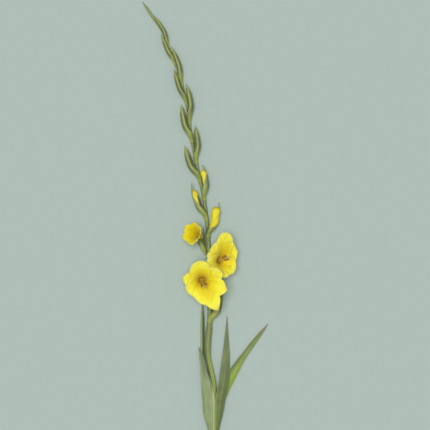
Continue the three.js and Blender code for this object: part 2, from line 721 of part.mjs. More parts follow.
// A filament with its anther. It stands in the throat at `angle`, and leans with the other stamens.
function addStamen(name, place, angle) {
  const sides = 6;
  const rows = [
    // [radial, height, radius]
    [2.4, -5, FILAMENT_RADIUS],
    [3.0, 0, FILAMENT_RADIUS],
    [4.4, 8, FILAMENT_RADIUS],
    [5.4, 12, ANTHER_RADIUS * 0.8],
    [7.0, 16, ANTHER_RADIUS],
    [8.8, 20, ANTHER_RADIUS],
    [10.2, 23, ANTHER_RADIUS * 0.5],
  ];
  const points = rows.map(([radial, height], i) => {
    const turn = radians(angle * (1 - (STAMENS_GATHER * i) / (rows.length - 1)));
    return place(radial * Math.cos(turn), radial * Math.sin(turn), height);
  });
  const radii = rows.map((row) => row[2]);
  addPiece(name, loftSolid(rodRings(points, radii, sides)), ANTHER_CREAM);
}

// The style and its three stigma branches, joined into one solid.
function addPistil(name, place) {
  const sides = 6;
  const fork = [7.5, 0, 24];
  const style = [place(0, 0, -5), place(0.4, 0, 2), place(2.4, 0, 12), place(...fork)];
  let pistil = asManifold(loftSolid(rodRings(style, style.map(() => STYLE_RADIUS), sides)));
  for (const tip of [
    [12, 0, 28],
    [8, 4.2, 29],
    [8, -4.2, 29],
  ]) {
    const branch = [place(fork[0] - 0.5, 0, fork[2] - 1), place(...tip)];
    const radii = [STYLE_RADIUS * 0.9, STYLE_RADIUS * 1.3];
    pistil = pistil.add(asManifold(loftSolid(rodRings(branch, radii, sides))));
  }
  addPiece(name, asGeometry(pistil), ANTHER_CREAM);
}

function addOpenFloret(floret) {
  const flower = FLOWERS[floret.name];
  const frame = flowerFrame(floret, flower);
  addTube(floret, flower, frame);
  PETAL_NAMES.forEach((petal, k) => addPetal(`${floret.name}_${petal}_petal`, frame, flower, k));
  if ("stamensTo" in flower) {
    const place = stamenPlace(frame, flower);
    STAMEN_ANGLES.forEach((angle, i) => addStamen(`${floret.name}_stamen_${i + 1}`, place, angle));
    addPistil(`${floret.name}_pistil`, place);
  }
  const wrapAt = bractWrap(OUTER_BRACT_WRAP, OPEN_BRACT_SHARE, OPEN_BRACT_WRAP);
  addBract(`${floret.name}_outer_bract`, floret, { turn: 0, wrapAt, length: 1 });
  const beside = { ...floret, reach: INNER_BRACT_REACH };
  const innerWrapAt = bractWrap(OPEN_INNER_WRAP, OPEN_BRACT_SHARE, OPEN_INNER_WRAP);
  addBract(`${floret.name}_inner_bract`, beside, {
    turn: 180,
    wrapAt: innerWrapAt,
    length: INNER_BRACT_SHARE,
  });
}

// ---------------------------------------------------------------------------------------------------------
// The whole plant
// ---------------------------------------------------------------------------------------------------------

addStem();
for (const [name, leaf] of Object.entries(LEAVES)) addLeaf(name, leaf);

const ADD_FLORET = { open: addOpenFloret, budding: addBuddingFloret, closed: addClosedFloret };
for (const floret of FLORETS) ADD_FLORET[floret.kind](floret);

// The origin is under the middle of the plant, on the surface that it lies on.
const box = new THREE.Box3().setFromObject(plant, true);
const middle = box.getCenter(new THREE.Vector3());
plant.position.set(-middle.x, -middle.y, -box.min.z);

export default plant;
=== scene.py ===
# Looks of a cut gladiolus that lies on a flat surface and is seen from straight above.
#
# Shapes are worked out in millimetres in the part's own axes: the stem runs along +Y, the flowers face
# up, and an azimuth is measured around the stem, from straight up (0) towards the right (90). `to_frame`
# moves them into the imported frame, in metres. Angles are in degrees, and a share runs from 0 to 1.

import math

import bpy
import numpy as np
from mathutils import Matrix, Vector


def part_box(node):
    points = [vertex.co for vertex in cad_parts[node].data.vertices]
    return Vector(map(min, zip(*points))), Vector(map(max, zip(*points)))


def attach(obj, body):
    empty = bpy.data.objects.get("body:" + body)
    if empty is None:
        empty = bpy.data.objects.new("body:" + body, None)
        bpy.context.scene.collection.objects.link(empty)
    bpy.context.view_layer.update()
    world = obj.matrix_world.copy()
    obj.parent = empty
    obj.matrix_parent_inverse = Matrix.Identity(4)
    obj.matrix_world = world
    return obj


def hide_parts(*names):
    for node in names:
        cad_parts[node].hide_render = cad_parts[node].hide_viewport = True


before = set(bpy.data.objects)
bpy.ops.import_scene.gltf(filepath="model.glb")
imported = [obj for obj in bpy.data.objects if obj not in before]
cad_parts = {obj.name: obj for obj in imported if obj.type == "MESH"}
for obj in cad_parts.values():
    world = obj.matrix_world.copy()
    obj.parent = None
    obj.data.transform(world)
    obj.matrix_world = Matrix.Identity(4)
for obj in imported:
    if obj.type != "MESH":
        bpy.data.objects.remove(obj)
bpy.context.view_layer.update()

# -------- Driving sizes --------

CLEARANCE = 0.5
LEAF_PITCH = 1.4  # from one layer of sheaths around the stem to the next
LEAF_HALF = 0.45  # half the part's leaf thickness
BRACT_PITCH = 0.9  # how far a floret's bracts stand off the stem

LEAF_THICKNESS = 0.6
BRACT_THICKNESS = 0.5
PETAL_THICKNESS = 0.4

STEM_RADIUS = [
    # y, radius
    (-140, 6.0),
    (60, 5.6),
    (200, 4.9),
    (372, 4.1),
    (450, 3.5),
    (550, 2.9),
    (650, 2.4),
    (750, 1.9),
    (806, 1.5),
    (822, 2.6),
    (838, 2.8),
    (856, 0.6),
]
SHEATH_LIFT = 3 * LEAF_PITCH
STEM_ROUTE = [
    # x, y, height of the underside
    (8, -140, SHEATH_LIFT),
    (9, -60, SHEATH_LIFT),
    (9.5, 20, SHEATH_LIFT),
    (8.5, 88, SHEATH_LIFT),
    (3.5, 118, 0.95 * SHEATH_LIFT),
    (-2, 146, 0.85 * SHEATH_LIFT),
    (-1.5, 180, 0.75 * SHEATH_LIFT),
    (1.5, 230, 0.6 * SHEATH_LIFT),
    (0.5, 310, 0.4 * SHEATH_LIFT),
    (-1, 372, 0.25 * SHEATH_LIFT),
    (-8, 450, 0.1),
    (-21, 514, 0.1),
    (-34, 578, 0.1),
    (-45, 654, 0.1),
    (-61, 713, 0.1),
    (-88, 784, 0.1),
    (-110, 822, 0.1),
    (-133, 856, 0.1),
]
STEM_NODE = 194  # the swollen ring on the bare stem
STEM_SHEATH = (148, 207)  # where a closed sheath thickens the stem below its first floret

# Each leaf's sheath: start, end, azimuth, layer, and the half angles that it covers.
# Then its blade's stations: x, y, z, half width, azimuth, and half curl.
LEAVES = {
    "left_leaf": (
        (-70, -14, -62, 2, (50, 50, 48)),
        (
            (-2.8, 28, 14.4, 10.4, -37, 22),
            (-4.6, 60, 13.6, 11.4, -30, 18),
            (-6.6, 92, 13.8, 9.8, -22, 14),
            (-11.2, 122, 11.6, 6.4, -14, 12),
            (-15.2, 148, 9.2, 4.4, -18, 8),
            (-20.5, 165, 6, 0.6, -20, 0),
        ),
    ),
    "centre_leaf": (
        (-90, -14, 62, 2, (50, 50, 48)),
        (
            (19.4, 30, 14.8, 9.2, 32, 18),
            (23.2, 62, 14, 11.2, 25, 14),
            (28.9, 92, 10, 11, 16, 12),
            (32.4, 126, 6.8, 9.4, 8, 12),
            (34.4, 160, 4.2, 6.4, 4, 10),
            (35.4, 196, 2.2, 3, 0, 6),
            (36.2, 228, 0.9, 0.5, 0, 0),
        ),
    ),
    "right_leaf": (
        (-110, -20, 150, 3, (36, 36, 36)),
        (
            (17, 30, 1.2, 8.5, 158, 34),
            (24, 62, 0.9, 10, 168, 36),
            (35, 92, 0.7, 11.5, 174, 40),
            (50.5, 119, 0.6, 9.4, 176, 42),
            (68, 146, 0.6, 6.6, 178, 42),
            (87.5, 173, 0.6, 5.2, 180, 40),
            (104, 194, 0.6, 3.6, 180, 34),
            (118, 212, 0.6, 0.5, 180, 0),
        ),
    ),
    "tall_leaf": (
        (-20, 98, -90, 1.2, (150, 150, 136, 108, 66)),
        (
            (-9.6, 121, 7, 5.2, -55, 40),
            (-12.8, 146, 6, 5.2, -38, 25),
            (-13.2, 180, 5.2, 5.2, -35, 18),
            (-13.2, 212, 4.4, 4.6, -32, 16),
            (-13, 238, 3.2, 2.8, -25, 10),
            (-12.8, 258, 2, 0.5, -15, 0),
        ),
    ),
}

# name, side, y, azimuth, length, width, reach, kind
FLORETS = [
    ("floret_1", 1, 216, 84, 76, 15, 19, "budding"),
    ("floret_2", -1, 262, 84, 62, 12, 20, "open"),
    ("floret_3", 1, 308, 84, 60, 12, 22, "open"),
    ("floret_4", -1, 352, 84, 66, 12, 26, "open"),
    ("floret_5", 1, 386, 66, 70, 15, 23, "budding"),
    ("floret_6", -1, 418, 60, 80, 13.5, 18, "budding"),
    ("floret_7", 1, 459, 42, 72, 13, 13, "budding"),
    ("floret_8", -1, 495, 52, 76, 13.5, 17, "closed"),
    ("floret_9", 1, 532, 50, 75, 12.5, 11, "closed"),
    ("floret_10", -1, 574, 44, 78, 13, 13, "closed"),
    ("floret_11", 1, 611, 40, 78, 12, 10, "closed"),
    ("floret_12", -1, 649, 38, 74, 11, 7, "closed"),
    ("floret_13", 1, 686, 36, 78, 10.5, 6, "closed"),
    ("floret_14", -1, 728, 34, 64, 9, 5, "closed"),
    ("floret_15", 1, 762, 34, 64, 8, 4, "closed"),
]

RIPEST_BUD = "floret_8"  # the closed floret whose bud already shows yellow
INNER_SHARE = 0.86  # an inner bract's length in that of its floret

# The share at which an outer bract draws back, to what half angle, and its turn.
OPEN_BRACTS = {"floret_2": (0.08, 50, 0), "floret_3": (0.08, 50, 0), "floret_4": (0.5, 78, 34)}
# The same for a floret whose rolled petals show, then the turn of the bract's tip, its length, how far it
# stays from the floret's middle line, the inner bract's length, and how much the petals swell.
BUDDING = {
    "floret_1": (0.7, 112, 40, 45, 1.0, 0.0, INNER_SHARE, 0.9),
    "floret_5": (0.3, 40, -64, 8, 0.93, 0.85, 0.3, 1.3),
    "floret_6": (0.4, 56, -50, 40, 1.0, 0.0, 0.74, 1.05),
    "floret_7": (0.42, 54, -44, 12, 0.94, 0.0, 0.74, 1.1),
}

# An open flower's throat, as x and y from its node and a height, the way it faces, the way its upper
# petal points, its throat's radius, and six petals clockwise from the upper one: length, half width,
# flare at the throat, flare at the tip, lean, and how pointed the tip is.
FLOWERS = {
    "floret_2": (
        (-15, 40, 38),
        (0.08, -0.14, 0.98),
        (-0.42, 0.9, 0.1),
        7,
        (
            (48, 27, 34, 80, 30, 0.5),
            (44, 22, 30, 68, 14, 0.5),
            (51, 21, 30, 88, 12, 1.1),
            (66, 24, 30, 88, -4, 1.3),
            (33, 26, 30, 92, 10, 0.45),
            (40, 19, 30, 90, 8, 1.2),
        ),
    ),
    "floret_3": (
        (19.5, 32, 30),
        (0.5, 0.06, 0.86),
        (0, 1, 0),
        7,
        (
            (58, 30, 30, 88, -4, 0.42),
            (36, 26, 28, 92, -6, 0.8),
            (32, 24, 26, 96, 15, 0.6),
            (33, 24, 26, 88, -6, 0.5),
            (34, 24, 30, 100, 20, 0.5),
            (42, 24, 20, 88, 0, 0.5),
        ),
    ),
    "floret_4": (
        (-19, 37, 22),
        (-0.5, 0.16, 0.84),
        (0.1, 0.95, 0.1),
        5.6,
        (
            (32, 15, 16, 50, 0, 0.6),
            (27, 14, 14, 40, 0, 0.6),
            (27, 14, 12, 38, 0, 0.6),
            (30, 14, 14, 46, 0, 0.6),
            (32, 15, 16, 54, 0, 0.6),
            (32, 15, 16, 52, 0, 0.6),
        ),
    ),
}
STAMENS_TO = {"floret_2": 185, "floret_3": 40}  # where stamens lean, clockwise from the upper petal
PETAL_NAMES = ("upper", "upper_right", "lower_right", "lower", "lower_left", "upper_left")

# -------- Frame: the part's millimetres to packed metres --------

# The stem's leftmost, lowest-down and undermost points, in the part's millimetres.
STEM_CORNER = (-133.49, -140.08, 0.03)
stem_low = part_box("stem")[0]
SHIFT = np.array(stem_low) - np.array(STEM_CORNER) / 1000


def to_frame(points):
    return np.asarray(points, float) / 1000 + SHIFT


# -------- Curves --------


def unit(v):
    v = np.asarray(v, float)
    return v / max(np.linalg.norm(v), 1e-9)


def clamp(x, low=0.0, high=1.0):
    return min(max(x, low), high)


def ease(x):
    """0 to 1 with a soft start and a soft end."""
    x = clamp(x)
    return x * x * (3 - 2 * x)


def cosd(a):
    return math.cos(math.radians(a))


def sind(a):
    return math.sin(math.radians(a))


def spline(rows, share):
    """Catmull-Rom curve through rows of numbers."""
    last = len(rows) - 1
    at = clamp(share) * last
    i = min(int(at), last - 1)
    f = at - i
    a, b, c, d = (np.asarray(rows[int(clamp(i + k, 0, last))], float) for k in (-1, 0, 1, 2))
    return b + 0.5 * f * (c - a + f * (2 * a - 5 * b + 4 * c - d + f * (3 * (b - c) + d - a)))


def stem_radius(y):
    return float(np.interp(y, [r[0] for r in STEM_RADIUS], [r[1] for r in STEM_RADIUS]))


def stem_point(share):
    x, y, lift = spline(STEM_ROUTE, share)
    return np.array((x, y, lift + stem_radius(y)))


LINE_STEPS = 1500
LINE_REACH = 4  # points each way from which the stem's direction is taken
STEM_LINE = np.array([stem_point(i / LINE_STEPS) for i in range(LINE_STEPS + 1)])


def stem_at(y):
    """The stem's middle at y, its direction of travel and its radius."""
    point = np.array([np.interp(y, STEM_LINE[:, 1], STEM_LINE[:, k]) for k in range(3)])
    i = int(clamp(np.searchsorted(STEM_LINE[:, 1], y), LINE_REACH, LINE_STEPS - LINE_REACH))
    return point, unit(STEM_LINE[i + LINE_REACH] - STEM_LINE[i - LINE_REACH]), stem_radius(y)


def tangent_at(points, i):
    return unit(points[min(i + 1, len(points) - 1)] - points[max(i - 1, 0)])


def frame_across(tangent, azimuth):
    """The way out from a line at an azimuth, and the way across from there."""
    right = unit(np.cross(tangent, (0, 0, 1)))
    top = unit(np.cross(right, tangent))
    c, s = cosd(azimuth), sind(azimuth)
    return top * c + right * s, right * c - top * s


def wander(x, seed):
    """A smooth irregular wave between about -1 and 1."""
    return (
        math.sin(x + 1.7 * seed)
        + 0.6 * math.sin(2.3 * x + 2.9 * seed)
        + 0.35 * math.sin(4.1 * x + 5.3 * seed)
    ) / 1.6


# -------- Meshes --------


def make_piece(name, points, faces, uvs, material, nodes, slot):
    """A smooth mesh piece that stands for CAD nodes. `uvs` holds one pair for each vertex."""
    mesh = bpy.data.meshes.new(name)
    mesh.from_pydata([tuple(p) for p in to_frame(points)], [], faces)
    layer = mesh.uv_layers.new(name="UVMap")
    uvs = np.asarray(uvs, float)
    for loop in mesh.loops:
        layer.data[loop.index].uv = uvs[loop.vertex_index]
    mesh.polygons.foreach_set("use_smooth", [True] * len(mesh.polygons))
    mesh.materials.append(material)
    piece = bpy.data.objects.new(name, mesh)
    bpy.context.scene.collection.objects.link(piece)
    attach(piece, "root")
    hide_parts(*nodes)
    return piece


def sheet_piece(name, grid, thickness, material, nodes, slot, refine=0):
    """A thin sheet around a grid of points. U goes across it and V from its base to its tip.

    `refine` is how many times its mesh is subdivided.
    """
    grid = np.asarray(grid, float)
    rows, columns = grid.shape[:2]
    faces = [
        (i * columns + j, i * columns + j + 1, (i + 1) * columns + j + 1, (i + 1) * columns + j)
        for i in range(rows - 1)
        for j in range(columns - 1)
    ]
    uvs = [(j / (columns - 1), i / (rows - 1)) for i in range(rows) for j in range(columns)]
    piece = make_piece(name, grid.reshape(-1, 3), faces, uvs, material, nodes, slot)
    if refine:
        smooth = piece.modifiers.new("smooth", "SUBSURF")
        smooth.levels = smooth.render_levels = refine
    thick = piece.modifiers.new("thick", "SOLIDIFY")
    thick.thickness = thickness / 1000
    thick.offset = 0


def loft_piece(name, rings, material, nodes, slot, capped=True):
    """A body through closed rings. U goes around it and V from its start to its end."""
    rings = np.asarray(rings, float)
    count, sides = rings.shape[:2]
    points = list(rings.reshape(-1, 3))
    uvs = [(j / sides, i / (count - 1)) for i in range(count) for j in range(sides)]
    faces = [
        (i * sides + j, i * sides + (j + 1) % sides, (i + 1) * sides + (j + 1) % sides, (i + 1) * sides + j)
        for i in range(count - 1)
        for j in range(sides)
    ]
    if capped:
        for start, v, turn in ((0, 0, True), ((count - 1) * sides, 1, False)):
            points.append(np.mean(points[start : start + sides], axis=0))
            uvs.append((0.5, v))
            tip = len(points) - 1
            for j in range(sides):
                a, b = start + j, start + (j + 1) % sides
                faces.append((tip, b, a) if turn else (tip, a, b))
    make_piece(name, points, faces, uvs, material, nodes, slot)


def rod_rings(points, radii, sides, tangents=None):
    """Rings of a round rod along points, carried along without twisting."""
    tangents = tangents or [tangent_at(points, i) for i in range(len(points))]
    out, _ = frame_across(tangents[0], 0)
    rings = []
    for point, radius, tangent in zip(points, radii, tangents):
        out = unit(out - tangent * np.dot(out, tangent))
        across = np.cross(out, tangent)
        turns = [2 * math.pi * j / sides for j in range(sides)]
        rings.append([point + radius * (out * math.cos(t) + across * math.sin(t)) for t in turns])
    return rings


def rod_piece(name, rows, sides, steps, place, material, node, slot):
    """A rod through rows of numbers: a place, then the radius there."""
    stations = [spline(rows, i / (steps - 1)) for i in range(steps)]
    points = [place(*row[:-1]) for row in stations]
    rings = rod_rings(points, [row[-1] for row in stations], sides)
    loft_piece(name, rings, material, [node], slot)


# -------- Materials --------


def colour(red, green, blue):
    """Linear colour of 0-255 display values."""

    def linear(c):
        c /= 255
        return c / 12.92 if c <= 0.04045 else ((c + 0.055) / 1.055) ** 2.4

    return (linear(red), linear(green), linear(blue), 1.0)


class Paint:
    """A material with short ways to add nodes to it."""

    def __init__(self, name):
        self.material = bpy.data.materials.new(name)
        self.material.use_nodes = True
        self.tree = self.material.node_tree
        self.surface = self.tree.nodes["Principled BSDF"]
        self.output = self.tree.nodes["Material Output"]

    def put(self, socket, value):
        """Links a socket, or sets it to a number or a colour, which is a tuple of display values."""
        if isinstance(value, bpy.types.NodeSocket):
            self.tree.links.new(value, socket)
        else:
            socket.default_value = colour(*value) if isinstance(value, tuple) else value

    def add(self, kind, inputs, **settings):
        node = self.tree.nodes.new(kind)
        for name, value in settings.items():
            setattr(node, name, value)
        for name, value in inputs.items():
            self.put(node.inputs[name], value)
        return node

    def across_and_along(self):
        uv = self.add("ShaderNodeUVMap", {}, uv_map="UVMap")
        parts = self.add("ShaderNodeSeparateXYZ", {"Vector": uv.outputs["UV"]})
        return parts.outputs["X"], parts.outputs["Y"]

    def maths(self, operation, a, b=0.0, c=0.0):
        node = self.add("ShaderNodeMath", {0: a, 1: b, 2: c}, operation=operation)
        return node.outputs["Value"]

    def times(self, a, b):
        return self.maths("MULTIPLY", a, b)

    def point(self, x, y):
        return self.add("ShaderNodeCombineXYZ", {"X": x, "Y": y}).outputs["Vector"]

    def noise(self, vector, scale, detail=3.0, roughness=0.5):
        inputs = {"Vector": vector, "Scale": scale, "Detail": detail, "Roughness": roughness}
        return self.add("ShaderNodeTexNoise", inputs).outputs["Fac"]

    def place(self, scale):
        """The position on the object, in units of 1/scale metres."""
        coordinates = self.add("ShaderNodeTexCoord", {})
        inputs = {"Vector": coordinates.outputs["Object"], "Scale": scale}
        return self.add("ShaderNodeVectorMath", inputs, operation="SCALE").outputs["Vector"]

    def grain(self, scale, detail=3.0):
        """Noise in the object's space, with patches about 1/scale metres across."""
        return self.noise(self.place(scale), 1.0, detail)

    def ramp(self, factor, stops):
        """Numbers or colours at places along 0 to 1, eased from one to the next."""
        node = self.add("ShaderNodeValToRGB", {"Fac": factor})
        steps = node.color_ramp
        steps.interpolation = "EASE"
        while len(steps.elements) < len(stops):
            steps.elements.new(1.0)
        for element, (at, value) in zip(steps.elements, stops):
            element.position = at
            element.color = colour(*value) if isinstance(value, tuple) else (value, value, value, 1.0)
        return node.outputs["Color"]

    def blend(self, factor, a, b):
        node = self.add("ShaderNodeMix", {}, data_type="RGBA")
        factor_in, first, second = node.inputs[0], node.inputs[6], node.inputs[7]
        self.put(factor_in, factor)
        self.put(first, a)
        self.put(second, b)
        return node.outputs[2]

    def tint(self, base, factor, start, end, amount, over):
        """`over` laid on `base`: none where the factor is `start`, up to `amount` where it is `end`."""
        return self.blend(self.ramp(factor, ((start, 0.0), (end, amount))), base, over)

    def bump(self, height, strength, distance):
        inputs = {"Height": height, "Strength": strength, "Distance": distance}
        self.put(self.surface.inputs["Normal"], self.add("ShaderNodeBump", inputs).outputs["Normal"])

    def finish(self, base, roughness, light_through=0.0, gloss=0.5, sheen=0.0):
        """Sets the surface, and lets a share of the light through the sheet."""
        self.put(self.surface.inputs["Base Color"], base)
        self.put(self.surface.inputs["Roughness"], roughness)
        self.put(self.surface.inputs["Specular IOR Level"], gloss)
        self.put(self.surface.inputs["Sheen Weight"], sheen)
        if light_through:
            through = self.add("ShaderNodeBsdfTranslucent", {"Color": base})
            both = self.add("ShaderNodeMixShader", {0: light_through})
            self.put(both.inputs[1], self.surface.outputs["BSDF"])
            self.put(both.inputs[2], through.outputs["BSDF"])
            self.put(self.output.inputs["Surface"], both.outputs["Shader"])
        return self.material


def veins(paint, across, along, count, length):
    """Fine parallel lines along a sheet, 0 to 1, that waver a little."""
    stretched = paint.point(paint.times(across, count), paint.times(along, length))
    return paint.noise(stretched, 1.0, detail=4.0, roughness=0.6)


def veined(name, count, length, scale, detail=3.0):
    """A new material with the ways across and along the sheet, its veins, and patches."""
    paint = Paint(name)
    across, along = paint.across_and_along()
    return paint, across, along, veins(paint, across, along, count, length), paint.grain(scale, detail)


def edge_of(paint, across):
    """0 along a sheet's middle to 1 at its two edges."""
    return paint.maths("ABSOLUTE", paint.maths("MULTIPLY_ADD", across, 2.0, -1.0))


def leaf_material(name, body, dark, light, tints_and_painted_light):
    """A leaf with parallel veins, a pale midrib and edges, a dry tip, and tints, some of them painted shade
    or painted light.
    """
    paint, across, along, lines, patches = veined(name, 26.0, 3.0, 38.0)
    base = paint.tint(body, patches, 0.32, 0.68, 1.0, dark)
    base = paint.tint(base, lines, 0.38, 0.66, 0.62, light)
    # Tints of the leaf's own colour, and painted shade and painted light where LEAF_COLOURS marks them.
    for tint, over_across, over_along in tints_and_painted_light:
        amount = paint.times(paint.ramp(across, over_across), paint.ramp(along, over_along))
        base = paint.blend(amount, base, tint)
    edge = edge_of(paint, across)
    base = paint.blend(paint.ramp(edge, ((0.02, 0.35), (0.09, 0.0))), base, (150, 164, 112))
    base = paint.tint(base, edge, 0.9, 1.0, 0.5, (166, 170, 128))
    dry = paint.maths("MULTIPLY_ADD", patches, 0.06, along)
    base = paint.tint(base, dry, 0.9, 1.0, 0.85, (146, 128, 112))
    specks = paint.grain(420.0, 2.0)
    base = paint.tint(base, specks, 0.7, 0.78, 0.5, (120, 112, 78))
    paint.bump(paint.maths("MULTIPLY_ADD", specks, 0.25, lines), 0.5, 0.0004)
    rough = paint.ramp(lines, ((0.3, 0.42), (0.7, 0.6)))
    return paint.finish(base, rough, light_through=0.14, gloss=0.4)


def stem_material():
    """Green skin, darker on its left and yellow-green on its right where the tall leaf leaves it."""
    paint, around, along, lines, patches = veined("stem_skin", 30.0, 14.0, 30.0, 4.0)
    base = paint.ramp(along, ((0.0, (150, 158, 112)), (0.22, (112, 126, 72)), (1.0, (132, 142, 78))))
    base = paint.tint(base, patches, 0.35, 0.7, 0.7, (98, 114, 62))
    base = paint.tint(base, lines, 0.45, 0.7, 0.6, (158, 166, 104))
    bare = paint.ramp(along, ((0.13, 0.0), (0.18, 1.0), (0.27, 1.0), (0.34, 0.0)))
    right = paint.ramp(around, ((0.03, 0.0), (0.1, 1.0), (0.4, 1.0), (0.5, 0.0)))
    left = paint.ramp(around, ((0.72, 0.0), (0.8, 1.0), (0.96, 1.0), (1.0, 0.0)))
    base = paint.blend(paint.times(bare, right), base, (160, 178, 56))
    base = paint.blend(paint.times(bare, left), base, (88, 102, 58))
    specks = paint.grain(500.0, 2.0)
    base = paint.tint(base, specks, 0.68, 0.76, 0.6, (92, 84, 52))
    paint.bump(paint.maths("MULTIPLY_ADD", specks, 0.4, lines), 0.5, 0.0004)
    return paint.finish(base, paint.ramp(patches, ((0.3, 0.36), (0.7, 0.55))), gloss=0.45)


def cut_material():
    """The wet, stringy cross-section where the stem was cut."""
    paint = Paint("stem_cut")
    cells = paint.add("ShaderNodeTexVoronoi", {"Vector": paint.place(1400.0), "Scale": 1.0})
    strands = cells.outputs["Distance"]
    patches = paint.grain(300.0)
    base = paint.ramp(strands, ((0.05, (118, 112, 66)), (0.35, (186, 190, 132)), (0.8, (204, 208, 156))))
    base = paint.tint(base, patches, 0.4, 0.75, 0.5, (140, 118, 72))
    paint.bump(strands, 0.8, 0.0005)
    return paint.finish(base, 0.45)


def bract_material(name, body, dark, rim, heart):
    """A bract: veined, with darker patches, a dark heart, a pale papery rim and a brown tip."""
    paint, across, along, lines, patches = veined(name, 18.0, 2.5, 46.0, 4.0)
    base = paint.tint(body, patches, 0.36, 0.66, 0.8, dark)
    base = paint.tint(base, lines, 0.4, 0.68, 0.55, rim)
    edge = edge_of(paint, across)
    base = paint.tint(base, edge, 0.8, 0.98, 0.75, rim)
    base = paint.blend(paint.ramp(along, ((0.0, 0.9), (0.12, 0.7), (0.34, 0.0))), base, (152, 166, 74))
    across_heart = paint.ramp(edge, ((0.1, 0.8), (0.8, 0.0)))
    along_heart = paint.ramp(along, ((0.22, 0.0), (0.4, 1.0), (0.72, 1.0), (0.88, 0.0)))
    base = paint.blend(paint.times(across_heart, along_heart), base, heart)
    dry = paint.maths("MULTIPLY_ADD", patches, 0.1, along)
    base = paint.tint(base, dry, 0.78, 1.0, 0.6, (150, 156, 84))
    base = paint.tint(base, dry, 0.99, 1.0, 0.7, (134, 112, 88))
    paint.bump(lines, 0.5, 0.0003)
    rough = paint.ramp(lines, ((0.3, 0.4), (0.7, 0.58)))
    return paint.finish(base, rough, light_through=0.1, gloss=0.4)


def petal_material(name, heart, glow, body, pale, reach):
    """A petal: deep in the throat, up to the share `reach`, then a lit yellow, and paler at its rim."""
    paint, across, along, lines, patches = veined(name, 24.0, 1.6, 45.0, 2.0)
    depth = paint.maths("ADD", along, paint.maths("MULTIPLY_ADD", lines, 0.2, -0.1))
    depth = paint.maths("ADD", depth, paint.maths("MULTIPLY_ADD", patches, 0.3, -0.15))
    base = paint.ramp(depth, ((0.04, heart), (reach, glow), (reach + 0.2, body), (1.0, pale)))
    edge = edge_of(paint, across)
    near_edge = paint.ramp(edge, ((0.6, 0.0), (1.0, 0.6)))
    outer_half = paint.ramp(along, ((0.4, 0.0), (0.8, 1.0)))
    base = paint.blend(paint.times(near_edge, outer_half), base, pale)
    base = paint.tint(base, patches, 0.5, 0.7, 0.5, glow)
    base = paint.tint(base, lines, 0.58, 0.76, 0.25, glow)
    streaks = paint.ramp(lines, ((0.46, 0.0), (0.6, 1.0)))
    throat = paint.ramp(depth, ((0.0, 0.5), (0.24, 0.0)))
    base = paint.blend(paint.times(streaks, throat), base, (204, 166, 20))
    rim = paint.ramp(edge, ((0.88, 0.0), (0.98, 0.6)))
    in_places = paint.ramp(patches, ((0.4, 0.0), (0.6, 1.0)))
    base = paint.blend(paint.times(rim, in_places), base, (244, 222, 138))
    cells = paint.grain(900.0, 2.0)
    paint.bump(paint.maths("MULTIPLY_ADD", cells, 0.2, lines), 0.4, 0.0005)
    rough = paint.ramp(lines, ((0.3, 0.5), (0.7, 0.68)))
    return paint.finish(base, rough, light_through=0.3, gloss=0.25, sheen=0.15)


def tube_material(name, greens):
    """Green up to the share `greens` of the tube, yellow at its mouth and gold with streaks inside."""
    paint = Paint(name)
    around, along = paint.across_and_along()
    lines = veins(paint, around, along, 16.0, 2.0)
    base = paint.ramp(
        along,
        (
            (greens, (112, 128, 62)),
            (greens + 0.14, (176, 180, 64)),
            (0.74, (238, 222, 70)),
            (0.8, (232, 202, 40)),
            (0.88, (228, 196, 30)),
            (0.96, (216, 186, 26)),
        ),
    )
    base = paint.tint(base, lines, 0.45, 0.7, 0.4, (204, 180, 40))
    paint.bump(lines, 0.5, 0.0004)
    rough = paint.ramp(lines, ((0.3, 0.5), (0.7, 0.66)))
    return paint.finish(base, rough, light_through=0.35, gloss=0.25, sheen=0.1)


def bud_material(name, body, deep, tip):
    """Rolled petals: lines that follow the roll, deeper in the folds and green at the base."""
    paint, _, along, lines, patches = veined(name, 16.0, 2.0, 70.0)
    base = paint.ramp(along, ((0.1, (160, 168, 70)), (0.42, body), (0.88, body), (0.97, tip)))
    base = paint.tint(base, lines, 0.45, 0.72, 0.6, deep)
    base = paint.tint(base, patches, 0.45, 0.75, 0.5, deep)
    paint.bump(lines, 0.5, 0.0004)
    rough = paint.ramp(lines, ((0.3, 0.5), (0.7, 0.66)))
    return paint.finish(base, rough, light_through=0.12, gloss=0.25, sheen=0.1)


def grain_material(name, body, deep, rough):
    """Anthers, filaments and stigmas, with a fine grain."""
    paint = Paint(name)
    grain = paint.grain(1600.0)
    patches = paint.grain(240.0)
    base = paint.tint(body, grain, 0.4, 0.62, 0.8, deep)
    base = paint.tint(base, patches, 0.4, 0.7, 0.5, deep)
    paint.bump(grain, 0.8, 0.0004)
    return paint.finish(base, rough, gloss=0.3)


# -------- Stem --------

STEM_SIDES = 32
STEM_STEPS = 420
RING_SWELL, RING_WIDTH = 0.7, 2.2  # at the bare stem's node
SHEATH_SWELL, SHEATH_END = 1.1, 2.0  # the closed sheath's thickness at its upper end, and how fast it ends
NODE_SWELL, NODE_WIDTH = 0.5, 4.0  # where a floret grows from the stem
RIDGES, RIDGE_DEPTH = 8, 0.02
UNDERSIDE = -0.7  # below this cosine the stem's skin stays inside the part's
CUT_HOLLOW = (0.15, 0.25)  # how far the cut face stands out at its middle, and further at its rim


def stem_swelling(y):
    """How much the stem swells at its rings and where a floret grows from it."""
    ring = RING_SWELL * math.exp(-(((y - STEM_NODE) / RING_WIDTH) ** 2))
    start, end = STEM_SHEATH
    ring += SHEATH_SWELL * clamp((y - start) / (end - start)) * clamp((end + SHEATH_END - y) / SHEATH_END)
    nodes = sum(NODE_SWELL * math.exp(-(((y - floret[2]) / NODE_WIDTH) ** 2)) for floret in FLORETS)
    return ring + nodes * min(1.0, stem_radius(y) / 4)


